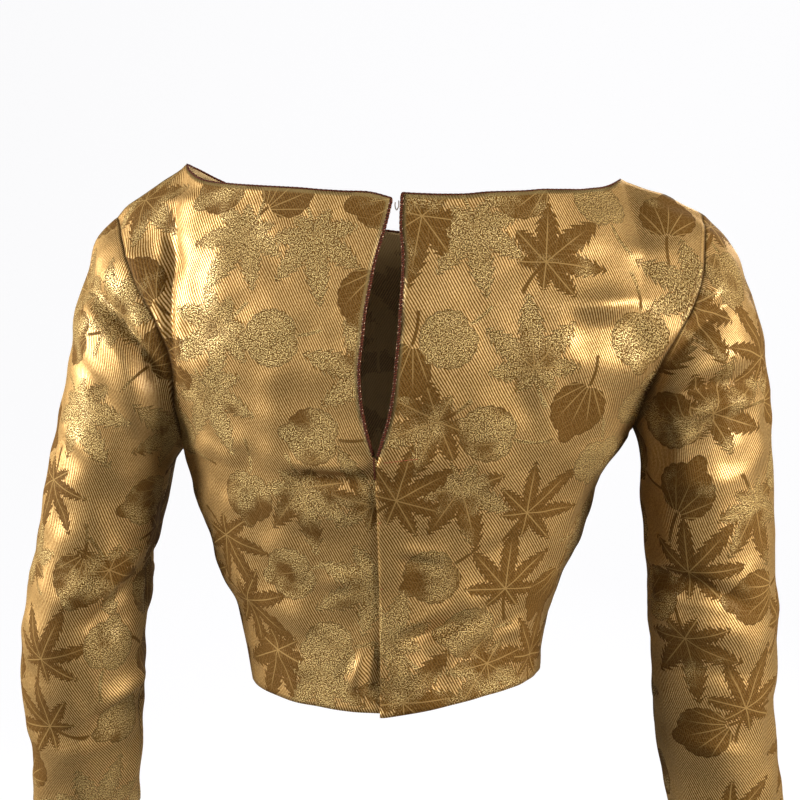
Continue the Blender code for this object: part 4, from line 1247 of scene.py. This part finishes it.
# Stitches on the slit's cord: on which side of it they lie, and where each row starts
CORD_ROWS = ((0.70, 0.0008), (-0.82, 0.0030))
CORD_UP = 0.62            # how far they lie on its outer face
CORD_STEP = 0.0048
CORD_JITTER = 0.0014      # uneven places along the cord
CORD_FREE = 0.008         # length of the slit that has none
BEAD_RADIUS = 0.00024
BEAD_HALF = (0.00022, 0.00016)    # half its length along and across the cord


def cord_stitches(slit):
    """Beige stitches that hold the slit's cord, here and there on both of its sides."""
    gone = steps_along(slit[0], 0)
    strands = []
    for row, (lean, first) in enumerate(CORD_ROWS):
        for k in range(int((gone[-1] - CORD_FREE) / CORD_STEP)):
            at = first + CORD_STEP * k + CORD_JITTER * math.sin(2.4 * k + 3 * row)
            middle, up, home = [np.array([np.interp(at, gone, column) for column in line.T])
                                for line in slit]
            up = unit(up)
            out = unit(middle - home)
            centre = middle + (out * lean + up * CORD_UP) * CORD_RADIUS
            run = unit(np.cross(up, out)) * (1 if row else -1)
            half = run * BEAD_HALF[0] + out * BEAD_HALF[1]
            strands.append(rope([centre + half * share for share in (-1, -0.4, 0.4, 1)], BEAD_RADIUS, 7))
    return strands


def loop_path(grids):
    """Thread loop at the top of the slit, between the two cords."""
    y = (grids["back_left"][0][-1, 0, 1] + grids["back_right"][0][-1, 0, 1]) / 2 - CLOTH / 2
    return along([(x, y - LOOP_LEAN * z, z) for x, z in LOOP], LOOP_CELLS)


FLOOR_Z = -1.15
WALL_Y = -3.2
STAGE_BEND = 1.2          # radius with which the floor turns up into the wall
STAGE_HALF = 6.0
STAGE_NEAR = 5.0
STAGE_TOP = 3.5
PAPER = rgb(0.965, 0.965, 0.980)  # what the camera sees of floor and wall
PAPER_GREY = rgb(0.14, 0.14, 0.14)     # what light falls on
PAPER_GLOW = 0.92


def build_stage():
    """Pale floor that turns up into a pale wall behind the blouse."""
    bend = STAGE_BEND
    profile = [(STAGE_NEAR, FLOOR_Z)]
    profile += [(WALL_Y + bend - bend * math.sin(turn), FLOOR_Z + bend - bend * math.cos(turn))
                for turn in np.linspace(0, math.pi / 2, 13)]
    profile.append((WALL_Y, STAGE_TOP))
    verts = [(x, y, z) for x in (-STAGE_HALF, STAGE_HALF) for y, z in profile]
    count = len(profile)
    faces = [[k, k + 1, count + k + 1, count + k] for k in range(count - 1)]
    mesh = bpy.data.meshes.new("studio_floor")
    mesh.from_pydata(verts, [], faces)
    mesh.shade_smooth()
    material, net, shader = new_material("studio_paper")
    shader["Base Color"].default_value = PAPER_GREY
    shader["Roughness"].default_value = 0.9
    shader["Emission Color"].default_value = PAPER
    net.put(shader["Emission Strength"], net.seen() * PAPER_GLOW)
    mesh.materials.append(material)
    linked("studio_floor", mesh)


# Lights: place, size and power
LIGHTS = {
    "key": ((-0.45, 1.95, 0.60), 0.9, 9.0),
    "left_side": ((1.80, 0.36, 0.30), 0.8, 68.0),
    "right_side": ((-1.72, 0.75, 0.34), 0.8, 60.0),
    "front_fill": ((-0.5, -2.0, 0.55), 1.4, 34.0),
}
LIGHT_COLOUR = (1.0, 0.98, 0.95)
SKY_LOW = rgb(0.016, 0.012, 0.008)     # below and above the horizon, for reflections
SKY_HIGH = rgb(0.17, 0.17, 0.16)
SKY_SEEN = rgb(0.965, 0.965, 0.975)


def build_light():
    world = bpy.data.worlds.new("studio")
    bpy.context.scene.world = world
    world.use_nodes = True
    net = Net(world.node_tree)
    height = net.split(net.node("TexCoord", {})[0])[2]
    band = net.step(-0.20, 0.20, height) * net.number(net.step(0.35, 0.95, height), 1.0, 0.45)
    sky = net.colour(band, SKY_LOW, SKY_HIGH)
    back = world.node_tree.nodes["Background"].inputs
    net.put(back["Color"], net.colour(net.seen(), sky, SKY_SEEN))
    for name, (place, size, power) in LIGHTS.items():
        data = bpy.data.lights.new(name, "AREA")
        data.shape = "DISK"
        data.size = size
        data.energy = power
        data.color = LIGHT_COLOUR
        aim(linked(name, data), place)
    bpy.context.scene.view_settings.view_transform = "Standard"


CORD_CELL = 0.0005        # length of a cord's cells
CORD_SOFT = 6             # how often its path is softened
# Twisted strands: sides, swell of the twist as a share of the radius, length of a twist
PIPING = (12, 0.10, 0.0032)
TAIL = (8, 0.08, 0.0020)
THREAD = (10, 0.08, 0.0012)
TAIL_RADIUS = 0.0005
TAIL_CELL = 0.0006
TAIL_Z = (-0.1545, -0.1690)       # the cord ends over the top of the closing
TAIL_IN = 0.0002          # inward from the closing's edge
TAIL_SHIFT = (0.0006, -0.0002, 0.0)


def dress(piece, slot, *nodes):
    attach(piece, "root")
    if nodes:
        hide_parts(*nodes)
    return piece


def main():
    twill = twill_group()
    leaf = leaf_group()
    brocade = brocade_material(twill, fleck_group(), leaf)
    reverse = reverse_material(twill, leaf)
    cord, beige, red, pale = [strand_material(name) for name in STRANDS]
    grids, normals, maps = finished_grids()
    for name, (grid, mirrored) in grids.items():
        piece = cloth_piece(name, grid, normals[name], maps[name], mirrored, (brocade, reverse))
        dress(piece, "gold_brocade", name)
    riding = {name: [] for name in grids}
    for label, (path, radius, slit) in cord_paths(grids, normals).items():
        fine = softened(resampled(np.column_stack([path, radius]), CORD_CELL), CORD_SOFT)
        strand = rope(fine[:, :3], fine[:, 3], *PIPING)
        piece = strand_piece("piping_" + label, [strand], cord)
        owner = "front" if slit is None else "back_" + label
        riding[owner].append(dress(piece, "maroon_cord", "neck_cord_" + label))
        if slit is not None:
            beads = strand_piece("cord_stitches_" + label, cord_stitches(slit), beige)
            riding[owner].append(dress(beads, "pale_thread"))
    foot = [surface_place(grids, normals, "back_right", CLOSING_X - TAIL_IN, z)[0]
            for z in np.linspace(*TAIL_Z, 12)]
    foot = resampled(np.array(foot) + np.array(TAIL_SHIFT), TAIL_CELL)
    tail = strand_piece("cord_tail", [rope(foot, TAIL_RADIUS, *TAIL)], cord)
    riding["back_right"].append(dress(tail, "maroon_cord"))
    threads = [strand for row in RED_STITCHES for strand in stitch_row(grids, normals, *row)]
    riding["back_right"].append(dress(strand_piece("red_stitches", threads, red), "maroon_cord"))
    loop = strand_piece("thread_loop", [rope(loop_path(grids), LOOP_RADIUS, *THREAD)], pale)
    riding["back_left"].append(dress(loop, "pale_thread", "closing_loop"))
    build_stage()
    build_light()


main()
